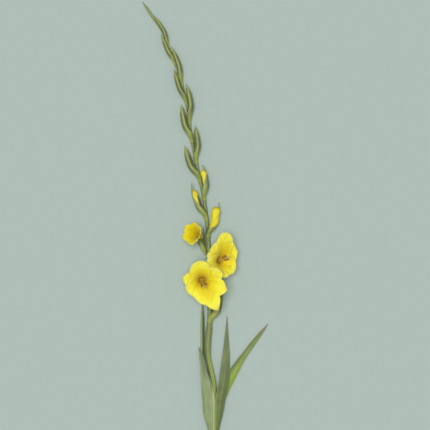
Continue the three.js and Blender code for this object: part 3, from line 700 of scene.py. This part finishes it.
def build_stem(skin, cut):
    points = [stem_point(i / (STEM_STEPS - 1)) for i in range(STEM_STEPS)]
    rings = []
    for i, point in enumerate(points):
        out, across = frame_across(tangent_at(points, i), 0)
        radius = stem_radius(point[1]) + stem_swelling(point[1])
        ring = []
        for j in range(STEM_SIDES):
            angle = 2 * math.pi * j / STEM_SIDES
            ridge = 1 + RIDGE_DEPTH * math.sin(RIDGES * angle + 0.01 * point[1])
            ridge += 0.012 * wander(3 * angle + 0.05 * point[1], 2)
            down = math.cos(angle) < UNDERSIDE
            size = radius * (min(ridge, 1.0) if down else ridge)
            ring.append(point + size * (out * math.cos(angle) + across * math.sin(angle)))
        rings.append(ring)
    loft_piece("stem_skin", rings, skin, ["stem"], "stem")
    build_cut_end(rings[0], cut)


def build_cut_end(ring, cut):
    """The slightly hollow face where the stem was cut, just outside the skin's end."""
    centre = np.mean(ring, axis=0)
    outward = np.array((0, -1.0, 0))
    middle, rim = CUT_HOLLOW
    rings = []
    for share in (0.985, 0.8, 0.6, 0.4, 0.2, 0.05):
        stands_out = middle + rim * share**2
        rings.append([centre + (p - centre) * share + outward * stands_out for p in np.asarray(ring)])
    loft_piece("stem_cut_face", rings, cut, ["stem"], "stem", capped=False)


# -------- Leaves --------

LEAF_STEPS = 110
LEAF_COLUMNS = 41
LEAF_UNEVEN = 0.03  # how much a leaf's edge wanders, as a share of its half width
MIDRIB_HEIGHT, MIDRIB_WIDTH = 0.3, 0.07
VEIN_HEIGHT, VEINS = 0.07, 9


def sheath_rows(start, end, azimuth, layer, wraps):
    """Stations of a sheath around the stem, in the form of a blade's."""
    rows = []
    for i, wrap in enumerate(wraps):
        y = start + (end - start) * i / (len(wraps) - 1)
        point, tangent, radius = stem_at(y)
        radius += layer * LEAF_PITCH - LEAF_HALF
        out, _ = frame_across(tangent, azimuth)
        rows.append((*(point + out * radius), radius * math.radians(wrap), azimuth, wrap))
    return rows


def leaf_grid(sheath, blade, seed):
    """A leaf's points: an arc across, a raised midrib and veins, and a slightly uneven edge."""
    rows = sheath_rows(*sheath) + list(blade)
    stations = [spline(rows, i / (LEAF_STEPS - 1)) for i in range(LEAF_STEPS)]
    centres = [s[:3] for s in stations]
    grid = []
    for i, (x, y, z, half, azimuth, wrap) in enumerate(stations):
        out, across = frame_across(tangent_at(centres, i), azimuth)
        turn = math.radians(max(wrap, 1))
        radius = max(half, 0.35) / turn
        fullness = min(1.0, half / 4)
        row = []
        for j in range(LEAF_COLUMNS):
            v = 2 * j / (LEAF_COLUMNS - 1) - 1
            uneven = 1 + LEAF_UNEVEN * abs(v) * wander(0.11 * y + 2 * v, seed)
            angle = turn * v * uneven
            rib = MIDRIB_HEIGHT * math.exp(-((v / MIDRIB_WIDTH) ** 2))
            rib += VEIN_HEIGHT * math.cos(VEINS * math.pi * v)
            height = radius * (1 - math.cos(angle)) - rib * fullness
            row.append(centres[i] + across * radius * math.sin(angle) - out * height)
        grid.append(row)
    return grid


# Body, dark and light green, and tints, some of them painted shade or painted light: a colour, where it lies
# across the leaf, and where along it.
LEAF_COLOURS = {
    "left_leaf": (
        (148, 164, 114),
        (124, 140, 88),
        (174, 186, 144),
        [
            ((158, 174, 96), ((0.0, 0.8), (0.3, 0.0)), ((0.1, 1.0), (0.6, 0.5), (0.8, 0.0))),
            # Painted shade: the blade's half beside the stem is darker in its upper part.
            ((104, 118, 82), ((0.1, 0.0), (0.5, 1.0)), ((0.56, 0.0), (0.8, 0.9), (0.94, 0.7))),
        ],
    ),
    "centre_leaf": (
        (108, 124, 70),
        (86, 102, 54),
        (130, 144, 94),
        [((142, 164, 62), ((0.0, 1.0), (0.4, 0.0)), ((0.3, 1.0), (0.56, 0.0)))],
    ),
    "right_leaf": (
        (118, 136, 78),
        (100, 118, 60),
        (146, 160, 100),
        # Painted light: the lit lower right half of the blade is painted a brighter yellow-green along its
        # outer part.
        [((148, 174, 60), ((0.0, 1.0), (0.45, 0.9), (0.72, 0.0)), ((0.5, 1.0), (0.8, 0.2), (0.95, 0.0)))],
    ),
    "tall_leaf": (
        (112, 127, 78),
        (90, 104, 58),
        (142, 156, 108),
        [
            ((166, 180, 130), ((0.0, 1.0), (1.0, 1.0)), ((0.0, 1.0), (0.3, 1.0), (0.46, 0.0))),
            ((172, 184, 138), ((0.4, 0.9), (0.56, 0.0)), ((0.4, 0.0), (0.5, 1.0), (0.94, 0.6))),
            # Painted shadow: the blade's half beside the stem is painted dark.
            ((66, 84, 30), ((0.5, 0.0), (0.56, 1.0)), ((0.4, 0.0), (0.5, 1.0), (0.9, 1.0))),
        ],
    ),
}


def build_leaves():
    for seed, (name, (sheath, blade)) in enumerate(LEAVES.items()):
        grid = leaf_grid(sheath, blade, seed)
        green = leaf_material(f"{name}_green", *LEAF_COLOURS[name])
        sheet_piece(f"{name}_blade", grid, LEAF_THICKNESS, green, [name], "leaf")


# -------- Bracts and buds --------

BRACT_STEPS = 44
BRACT_COLUMNS = 29
WIDEST_SHARE = 0.4  # where a closed floret is widest
BASE_WIDTH, TIP_WIDTH = 0.34, 0.08  # its width at its ends, as a share of that
TIP_BREADTH, TIP_WIDEST = 5.5, 100  # how fast a bract broadens from its tip, and up to what half angle
BRACT_UNEVEN = 0.03  # how much a bract's edge wanders, as a share of its half angle
KEEL_HEIGHT, KEEL_WIDTH = 0.25, 0.09
PLEAT_HEIGHT, PLEATS = 0.05, 7
FULL_KEEL = 12  # the floret's width from which a keel has its full height
BASE_WRAP = 118  # the half angle that a bract covers at its base
BASE_SHARE = 0.25  # over which a bract comes out to its full distance
LOWEST = 0.4  # the least height of a bract's skin above the surface
SKIN_INSIDE = 0.4  # how far a bract's skin stays inside the part's floret

# The share of its length over which a floret leaves the front of the stem.
CLASP = {"budding": 0.42, "closed": 0.5}
SHORT_CLASP = {"floret_1": 0.32}
CLASP_GAP = 0.7  # between the stem's skin and a bract wrapped around it
CLASP_FORWARD = 0.75  # how far forward the base turns, as a share of the floret's azimuth
LEAN_POWER = 1.6  # how late a floret leans away from the stem

BUD_STEPS = 50
BUD_SIDES = 48
BUD_START, BUD_END = 0.1, 0.82  # the stretch of a floret that its rolled petals fill
BUD_PETALS = 3
BUD_ROLL = 0.9  # how far round the petals' edges run from base to tip, in petals
LOOSE_FOLD, TIGHT_FOLD = 0.2, 0.14  # how far one petal's edge stands out over the next


def bract_shape(share):
    """The width of a closed floret along its length, as a share of its greatest."""
    if share < WIDEST_SHARE:
        return BASE_WIDTH + (1 - BASE_WIDTH) * math.sin(math.pi / 2 * share / WIDEST_SHARE)
    past = (share - WIDEST_SHARE) / (1 - WIDEST_SHARE)
    return TIP_WIDTH + (1 - TIP_WIDTH) * math.cos(math.pi / 2 * past**1.6)


class Floret:
    """One floret's middle line, with the directions across it."""

    def __init__(self, name, side, y, azimuth, length, width, reach, kind):
        self.name, self.side, self.y, self.azimuth = name, side, y, azimuth
        self.length, self.width, self.reach, self.kind = length, width, reach, kind

    def clasp(self, share):
        """1 at the base, which clasps the front of the stem, to 0 where the floret stands beside it."""
        if self.kind == "open":
            return 0.0
        return 1 - ease(share / SHORT_CLASP.get(self.name, CLASP[self.kind]))

    def azimuth_at(self, share):
        return self.side * self.azimuth * (1 - CLASP_FORWARD * self.clasp(share))

    def radius_at(self, share):
        """Radius of the closed bracts: at the base they are wrapped around the stem."""
        own = (self.width / 2 - SKIN_INSIDE) * bract_shape(share)
        wrapped = stem_radius(self.y + share * self.length) + CLASP_GAP
        return own + max(0.0, wrapped - own) * self.clasp(share)

    def point(self, share):
        """A point of the middle line, which leans out until its tip is `reach` from the stem's middle."""
        point, tangent, radius = stem_at(self.y + share * self.length)
        out, _ = frame_across(tangent, self.azimuth_at(share))
        beside = radius + BRACT_PITCH + self.width / 2 * bract_shape(share)
        lean = max(0.0, self.reach - stem_radius(self.y + self.length) - CLEARANCE)
        return point + out * (beside * (1 - self.clasp(share)) + lean * max(share, 0.0) ** LEAN_POWER)

    def stations(self, start, end, count):
        """Shares of the length with the middle line's point there and the ways out and across."""
        shares = [start + (end - start) * i / (count - 1) for i in range(count)]
        points = [self.point(s) for s in shares]
        for i, (share, point) in enumerate(zip(shares, points)):
            out, across = frame_across(tangent_at(points, i), self.azimuth_at(share))
            yield share, point, out, across

    def around(self, point, out, across, radius, angle):
        """A point around the middle line. Angle 0 looks away from the stem, and 90 is on top."""
        place = point + out * radius * cosd(angle) - across * self.side * radius * sind(angle)
        place[2] = max(place[2], LOWEST)
        return place


def bract_wrap(base, opens, wrap, narrows=0.5, over=0.14):
    """The half angle that a bract covers along its length, closing to a point.

    From the share `opens` it goes from `base` to `wrap`, over the share `over`.
    """

    def at(share):
        closing = 1 if share < narrows else 1 - 0.86 * ((share - narrows) / (1 - narrows)) ** 4
        return (base + (wrap - base) * ease((share - opens) / over)) * closing

    return at


def bract_grid(floret, turn, wrap_at, length, seed, lift=0.0, tip_turn=None, fullness=0.0):
    """A bract around the floret's middle line, moved outwards by `lift`, with a tip turned to `tip_turn`.

    `fullness` is how far from the middle line it stays, up to its tip.
    """
    tip_turn = turn if tip_turn is None else tip_turn
    grid = []
    for share, point, out, across in floret.stations(0, length, BRACT_STEPS):
        way = share / length
        grown = min(1, way / BASE_SHARE)
        radius = max(floret.radius_at(share), fullness * floret.width / 2 * grown) + lift * grown
        tip = math.degrees(TIP_BREADTH * math.sqrt(max(0.0, 1 - way)) / radius)
        half = max(wrap_at(way), min(TIP_WIDEST, tip))
        row = []
        for j in range(BRACT_COLUMNS):
            v = 2 * j / (BRACT_COLUMNS - 1) - 1
            uneven = 1 + BRACT_UNEVEN * abs(v) * wander(9 * way + v, seed)
            keel = KEEL_HEIGHT * math.exp(-((v / KEEL_WIDTH) ** 2))
            keel += PLEAT_HEIGHT * math.cos(PLEATS * math.pi * v)
            keel *= min(1, floret.width / FULL_KEEL) * (1 - way**4)
            angle = turn + (tip_turn - turn) * way**5 + half * v * uneven
            row.append(floret.around(point, out, across, radius + keel, angle))
        grid.append(row)
    return grid


def bract_piece(floret, which, grid, finishes):
    """The sheet of the outer or the inner bract, which in a closed floret is part of the bud's node."""
    closed = floret.kind == "closed"
    node, slot = ("bud", "closed_bud") if closed else (f"{which}_bract", "bract")
    name = f"{floret.name}_{which}_bract_leaf"
    sheet_piece(name, grid, BRACT_THICKNESS, finishes[which], [f"{floret.name}_{node}"], slot)


def rolled_bud(part, floret, start, end, radius_at, material, slot, fold_height):
    """Petals rolled round each other: each one's edge stands out a little where it overlaps the next."""
    rings = []
    for share, point, out, across in floret.stations(start, end, BUD_STEPS):
        way = (share - start) / (end - start)
        ring = []
        for j in range(BUD_SIDES):
            turn = j / BUD_SIDES
            fold = (turn * BUD_PETALS + BUD_ROLL * way * BUD_PETALS) % 1
            radius = radius_at(share) * (1 - fold_height * fold**1.6 + 0.02 * wander(6 * way + 9 * turn, 3))
            ring.append(floret.around(point, out, across, radius, 360 * turn))
        rings.append(ring)
    loft_piece(f"{floret.name}_{part}", rings, material, [f"{floret.name}_bud"], slot)


def build_closed(floret, seed, finishes):
    """A closed floret: the outer bract wraps the inner one, and both wrap a bud that shows at the tip."""
    outer_wrap = bract_wrap(125, 0.2, 60 + 6 * math.sin(2.1 * seed), narrows=0.55)
    bract_piece(floret, "outer", bract_grid(floret, -6, outer_wrap, 1.0, seed, lift=0.35), finishes)
    inner_wrap = bract_wrap(110, 0.2, 122, narrows=0.6)
    bract_piece(floret, "inner", bract_grid(floret, 150, inner_wrap, 0.9, seed + 3, lift=-0.25), finishes)

    def radius_at(share):
        rounding = math.sqrt(max(0.0, 1 - (share / 0.95) ** 6))
        return max(0.35, (floret.width / 2 - 1.1) * bract_shape(share) * rounding)

    core = finishes["ripe_core" if floret.name == RIPEST_BUD else "core"]
    rolled_bud("bud_core", floret, 0.06, 0.94, radius_at, core, "closed_bud", TIGHT_FOLD)


def build_budding(floret, seed, finishes):
    """A floret whose rolled petals show between its bracts."""
    opens, cover, turn, tip_turn, length, fullness, inner_length, swell = BUDDING[floret.name]

    def radius_at(share):
        grown = clamp((share - BUD_START) / (BUD_END - BUD_START))
        blunt = math.sqrt(max(0.0, 1 - 0.97 * grown**12))
        swollen = swell * (0.8 + 0.3 * grown)
        return max(0.5, (floret.width / 2 - 0.8) * min(1, share / 0.3) * swollen * blunt)

    rolled_bud("rolled_petals", floret, BUD_START, BUD_END, radius_at, finishes["rolled"], "bud", LOOSE_FOLD)
    outer_wrap = bract_wrap(BASE_WRAP, opens, cover, over=0.3)
    outer = bract_grid(floret, turn, outer_wrap, length, seed, lift=0.3, tip_turn=tip_turn, fullness=fullness)
    bract_piece(floret, "outer", outer, finishes)
    inner = bract_grid(floret, 180 + turn, bract_wrap(54, opens, 54), inner_length, seed + 5)
    bract_piece(floret, "inner", inner, finishes)


# -------- Flowers --------

PETAL_STEPS = 40
PETAL_COLUMNS = 33
PROFILE_STEPS = 12
LAYER_GAP = 0.7  # inner and outer petals stand this far off the flower's surface
LAYER_START = 0.1  # the share of a petal over which they come apart
PETAL_WIDEST = 0.55
FULL_RUFFLE, SMALL_RUFFLE = 2.8, 1.4  # height of the rim's waves in an open and a half-open flower
FOLD_HEIGHT, RIB_HEIGHT, RIBS = 1.6, 0.5, 5
GROOVE_DEPTH, GROOVE_WIDTH = 1.3, 0.12
BESIDE_REACH = 8  # how little an open flower's inner bract leans from the stem

TUBE_START, TUBE_LEAD = 0.05, 0.12  # the floret's shares between which the tube sets out
TUBE_STEPS = 200
TUBE_SIDES = 36
TUBE_NECK = 0.45  # the tube's narrow end, as a share of the floret's half width
TUBE_WIDENING = 2.2
TUBE_WALL = 0.7
CUP_DEPTH = 11  # how deep the hollow of a tube goes


class Flower:
    """An open flower's flaring surface."""

    def __init__(self, floret, throat, faces, up, throat_radius, petals):
        node = stem_at(floret.y)[0]
        self.floret, self.petals, self.throat_radius = floret, petals, throat_radius
        self.throat = np.array((node[0] + throat[0], node[1] + throat[1], throat[2]))
        self.axis = unit(faces)
        self.up = unit(np.asarray(up) - self.axis * np.dot(up, self.axis))
        self.right = unit(np.cross(self.up, self.axis))

    def place(self, up, right, height):
        return self.throat + self.up * up + self.right * right + self.axis * height

    def blended(self, angle, column):
        """One of the petals' values, eased from each petal to the next around the flower."""
        at = (angle / 60) % 6
        i = int(at)
        share = 0.5 - 0.5 * math.cos(math.pi * (at - i))
        a, b = (self.petals[k % 6][column] for k in (i, i + 1))
        return a + (b - a) * share

    def point(self, angle, share, offset):
        """A share of the way out from the throat, `offset` towards the inside."""
        length = self.blended(angle, 0)
        start, end = self.blended(angle, 2), self.blended(angle, 3)
        shares = share * (np.arange(PROFILE_STEPS) + 0.5) / PROFILE_STEPS
        flares = np.radians(start + (end - start) * shares)
        step = length * share / PROFILE_STEPS
        radial = self.throat_radius + step * np.sin(flares).sum() - offset * math.cos(flares[-1])
        height = step * np.cos(flares).sum() + offset * math.sin(flares[-1])
        return self.place(radial * cosd(angle), radial * sind(angle), height)


def petal_shape(share, base, pointed):
    """A petal's width along its length, as a share of its greatest."""
    if share < PETAL_WIDEST:
        return base + (1 - base) * math.sin(math.pi / 2 * share / PETAL_WIDEST)
    return max(0.05, 1 - ((share - PETAL_WIDEST) / (1 - PETAL_WIDEST)) ** 2.5) ** pointed


def petal_grid(flower, k, ruffle, seed):
    """A petal's points: a groove along its middle, shallow folds, and a ruffled rim."""
    _, half_width, _, _, lean, pointed = flower.petals[k]
    layer = 1 if k % 2 == 0 else -1
    base_half = math.radians(30) * flower.throat_radius
    grid = []
    for i in range(PETAL_STEPS):
        share = math.sin(math.pi / 2 * i / (PETAL_STEPS - 1)) ** 1.15
        away = flower.point(60 * k, share, 0) - flower.throat
        radial = math.sqrt(max(1e-6, np.dot(away, away) - np.dot(away, flower.axis) ** 2))
        half = half_width * petal_shape(share, base_half / half_width, pointed)
        half = min(half, math.radians(80) * radial)
        spread = math.degrees(half / radial)
        row = []
        for j in range(PETAL_COLUMNS):
            v = 2 * j / (PETAL_COLUMNS - 1) - 1
            rim = max(abs(v) ** 3, share**7)
            wave = wander(half_width * (0.55 * v + 0.5 * share), seed + k)
            wave += 0.6 * wander(11 * share - 5 * v, seed + 2 * k)
            folds = FOLD_HEIGHT * wander(2.6 * v + 1.2 * share, seed + 4 * k) * share * (1 - 0.5 * share)
            folds += RIB_HEIGHT * math.cos(RIBS * math.pi * v) * share * (1 - share)
            groove = GROOVE_DEPTH * math.exp(-((v / GROOVE_WIDTH) ** 2)) * min(1, 4 * share) * (1 - share**2)
            offset = layer * LAYER_GAP * min(1, share / LAYER_START) + folds - groove
            offset += ruffle * rim * share * wave
            edge_in = 0.1 * (v * half / half_width) ** 2 * max(0, share - 0.7)
            edge_in += 0.012 * rim * wander(8 * v + 3 * share, seed + 3 * k)
            row.append(flower.point(60 * k + spread * v + lean * share**3, share - edge_in, offset))
        grid.append(row)
    return grid


def bezier(controls, t):
    a, b, c, d = controls
    return a * (1 - t) ** 3 + 3 * b * t * (1 - t) ** 2 + 3 * c * t * t * (1 - t) + d * t**3


def build_tube(floret, flower, material):
    """The tube, from inside the bracts to the throat, and the inside of its mouth."""
    start = floret.point(TUBE_START)
    lead = unit(floret.point(TUBE_LEAD) - start)
    end = flower.throat - flower.axis * 0.2
    span = np.linalg.norm(end - start)
    controls = (start, start + lead * 0.3 * span, end - flower.axis * 0.38 * span, end)
    line = [bezier(controls, i / TUBE_STEPS) for i in range(TUBE_STEPS + 1)]
    walked = np.concatenate(([0], np.cumsum([np.linalg.norm(b - a) for a, b in zip(line, line[1:])])))
    mouth = flower.throat_radius + 0.5
    neck = floret.width / 2 * TUBE_NECK

    cup = 1 - CUP_DEPTH / walked[-1]
    stations = [(s, 0.0) for s in np.linspace(0, 1, 40)] + [(s, TUBE_WALL) for s in np.linspace(1, cup, 10)]
    places = [min(int(np.searchsorted(walked, s * walked[-1])), TUBE_STEPS) for s, _ in stations]
    tangents = [unit(line[min(i + 2, TUBE_STEPS)] - line[max(i - 2, 0)]) for i in places]
    radii = [neck + (mouth - neck) * s**TUBE_WIDENING - thinner for s, thinner in stations]
    rings = rod_rings([line[i] for i in places], radii, TUBE_SIDES, tangents)
    loft_piece(f"{floret.name}_tube_skin", rings, material, [f"{floret.name}_tube"], "tube")


def stamen_place(flower):
    """Places along the way the stamens lean, sideways from there, and up out of the throat."""
    c, s = cosd(STAMENS_TO[flower.floret.name]), sind(STAMENS_TO[flower.floret.name])
    return lambda ahead, beside, height: flower.place(ahead * c - beside * s, ahead * s + beside * c, height)


# Stations of a stamen's pieces: distance from the flower's middle, height out of the throat, radius.
FILAMENT = ((2.4, -5, 0.75), (3.0, 0, 0.7), (4.4, 8, 0.6), (5.4, 12, 0.5), (6.0, 13.6, 0.4))
ANTHER = (
    (5.0, 11, 0.5), (5.7, 12.6, 1.15), (7.0, 16, 1.4),
    (8.8, 20, 1.35), (10.0, 22.6, 0.8), (10.4, 23.4, 0.3),
)
ANTHER_HALVES = {"a": 0.55, "b": -0.55}  # how far each half is from the anther's middle
HALF_RADIUS = 0.72  # a half's radius, as a share of the anther's
STAMEN_FOOT, STAMEN_TOP = FILAMENT[0][1], ANTHER[-1][1]
STAMEN_ANGLES = (-64, 0, 64)
STAMENS_GATHER = 0.55  # how much closer together their tips are than their bases
# Stations of the style: the way ahead, aside, height out of the throat, radius.
STYLE = ((0, 0, -5, 0.6), (0.4, 0, 2, 0.6), (2.4, 0, 12, 0.55), (7.5, 0, 24, 0.6))
FORK = (7.3, 0, 23.6)
STIGMA_TIPS = ((12, 0, 28), (8, 4.2, 29), (8, -4.2, 29))


def build_stamens(flower, finishes):
    """Three filaments, each with a long anther of two halves, and the style with its three stigmas."""
    name = flower.floret.name
    place = stamen_place(flower)
    for i, angle in enumerate(STAMEN_ANGLES):

        def beside(away, height, aside=0.0, angle=angle):
            grown = (height - STAMEN_FOOT) / (STAMEN_TOP - STAMEN_FOOT)
            turn = angle * (1 - STAMENS_GATHER * grown)
            return place(away * cosd(turn), away * sind(turn) + aside, height)

        node = f"{name}_stamen_{i + 1}"
        rod_piece(f"{node}_filament", FILAMENT, 16, 20, beside, finishes["filament"], node, "stamen")
        for half, aside in ANTHER_HALVES.items():
            rows = tuple((away, height, aside, HALF_RADIUS * radius) for away, height, radius in ANTHER)
            rod_piece(f"{node}_anther_{half}", rows, 16, 24, beside, finishes["anther"], node, "stamen")
    build_pistil(flower, place, finishes["stigma"])


def build_pistil(flower, place, material):
    node = f"{flower.floret.name}_pistil"
    rod_piece(f"{node}_style", STYLE, 12, 24, place, material, node, "pistil")
    for i, (ahead, aside, height) in enumerate(STIGMA_TIPS):
        middle = [(a + b) / 2 for a, b in zip(FORK, (ahead, aside, height))]
        end = (ahead + 0.6, aside * 1.1, height + 0.5, 0.35)
        rows = ((*FORK, 0.5), (*middle, 0.55), (ahead, aside, height, 1.0), end)
        rod_piece(f"{node}_stigma_{i + 1}", rows, 12, 16, place, material, node, "pistil")


def build_open(floret, seed, finishes):
    """A flower with its tube and bracts. One that is only half open hides its stamens."""
    flower = Flower(floret, *FLOWERS[floret.name])
    fully = floret.name in STAMENS_TO
    build_tube(floret, flower, finishes["tube" if fully else "green_tube"])
    ruffle = FULL_RUFFLE if fully else SMALL_RUFFLE
    petals = finishes[floret.name]
    for k, petal in enumerate(PETAL_NAMES):
        node = f"{floret.name}_{petal}_petal"
        grid = petal_grid(flower, k, ruffle, seed)
        sheet_piece(f"{node}_sheet", grid, PETAL_THICKNESS, petals, [node], "petal", refine=1)
    if fully:
        build_stamens(flower, finishes)
    opens, cover, turn = OPEN_BRACTS[floret.name]
    outer = bract_grid(floret, turn, bract_wrap(BASE_WRAP, opens, cover), 1.0, seed)
    bract_piece(floret, "outer", outer, finishes)
    floret.reach = BESIDE_REACH
    inner = bract_grid(floret, 180, bract_wrap(42, opens, 42), INNER_SHARE, seed + 7)
    bract_piece(floret, "inner", inner, finishes)


def build_florets():
    finishes = {
        "outer": bract_material(
            "bract_green", (152, 166, 92), (126, 132, 84), (184, 192, 118), (84, 96, 50)
        ),
        "inner": bract_material(
            "bract_dark_green", (104, 116, 60), (84, 94, 50), (132, 140, 84), (72, 82, 42)
        ),
        "core": bud_material("bud_green", (150, 162, 70), (122, 136, 58), (150, 160, 64)),
        "ripe_core": bud_material("bud_yellow_green", (196, 196, 40), (160, 166, 46), (206, 200, 56)),
        "rolled": bud_material("bud_yellow", (240, 226, 50), (214, 190, 26), (216, 186, 20)),
        "tube": tube_material("tube_skin", 0.3),
        "green_tube": tube_material("tube_skin_green", 0.56),
        "floret_2": petal_material(
            "petals_lower", (234, 200, 30), (250, 234, 40), (255, 250, 70), (255, 251, 136), 0.3
        ),
        "floret_3": petal_material(
            "petals_upper", (234, 206, 20), (250, 234, 40), (255, 250, 76), (255, 251, 136), 0.4
        ),
        "floret_4": petal_material(
            "petals_half_open", (214, 190, 14), (234, 214, 18), (244, 230, 34), (250, 240, 66), 0.34
        ),
        "filament": grain_material("filament_yellow", (226, 206, 96), (190, 160, 60), 0.5),
        "anther": grain_material("anther_brown", (168, 134, 60), (122, 94, 38), 0.75),
        "stigma": grain_material("stigma_cream", (238, 222, 150), (206, 180, 90), 0.6),
    }
    builders = {"closed": build_closed, "budding": build_budding, "open": build_open}
    for seed, values in enumerate(FLORETS):
        floret = Floret(*values)
        builders[floret.kind](floret, seed, finishes)


# -------- Floor, light and camera --------

FLOOR_HALF = 6.0  # metres
VIEW_WIDTH = 0.86  # metres across the picture at the surface
VIEW_CENTRE = (12, 430)  # in the part's millimetres
LENS, SENSOR = 85.0, 36.0
AMBIENT = 0.4
KEY = 2.3
KEY_SOFTNESS = 30
KEY_FROM = (-0.1, 0.08, 1.0)


def build_floor():
    mesh = bpy.data.meshes.new("floor")
    corners = [(x * FLOOR_HALF, y * FLOOR_HALF, 0) for x, y in ((-1, -1), (1, -1), (1, 1), (-1, 1))]
    mesh.from_pydata(corners, [], [(0, 1, 2, 3)])
    floor = bpy.data.objects.new("floor", mesh)
    bpy.context.scene.collection.objects.link(floor)
    paint = Paint("floor_paper")
    speckle = paint.grain(60.0)
    base = paint.tint((166, 181, 174), speckle, 0.3, 0.7, 1.0, (167, 182, 175))
    mesh.materials.append(paint.finish(base, 0.9, gloss=0.05))


def build_light():
    world = bpy.data.worlds.new("studio")
    world.use_nodes = True
    background = world.node_tree.nodes["Background"]
    background.inputs["Color"].default_value = (1.0, 1.0, 1.0, 1.0)
    background.inputs["Strength"].default_value = AMBIENT
    bpy.context.scene.world = world
    sun = bpy.data.lights.new("soft_key", "SUN")
    sun.energy = KEY
    sun.angle = math.radians(KEY_SOFTNESS)
    lamp = bpy.data.objects.new("soft_key", sun)
    lamp.rotation_euler = Vector(KEY_FROM).to_track_quat("Z", "Y").to_euler()
    bpy.context.scene.collection.objects.link(lamp)


def build_camera():
    data = bpy.data.cameras.new("camera")
    data.lens = LENS
    data.sensor_width = SENSOR
    data.clip_end = 20
    camera = bpy.data.objects.new("camera", data)
    x, y, _ = to_frame((*VIEW_CENTRE, 0))
    camera.location = (x, y, VIEW_WIDTH * LENS / SENSOR)
    bpy.context.scene.collection.objects.link(camera)
    bpy.context.scene.camera = camera
    bpy.context.scene.view_settings.view_transform = "Standard"


build_stem(stem_material(), cut_material())
build_leaves()
build_florets()
build_floor()
build_light()
build_camera()
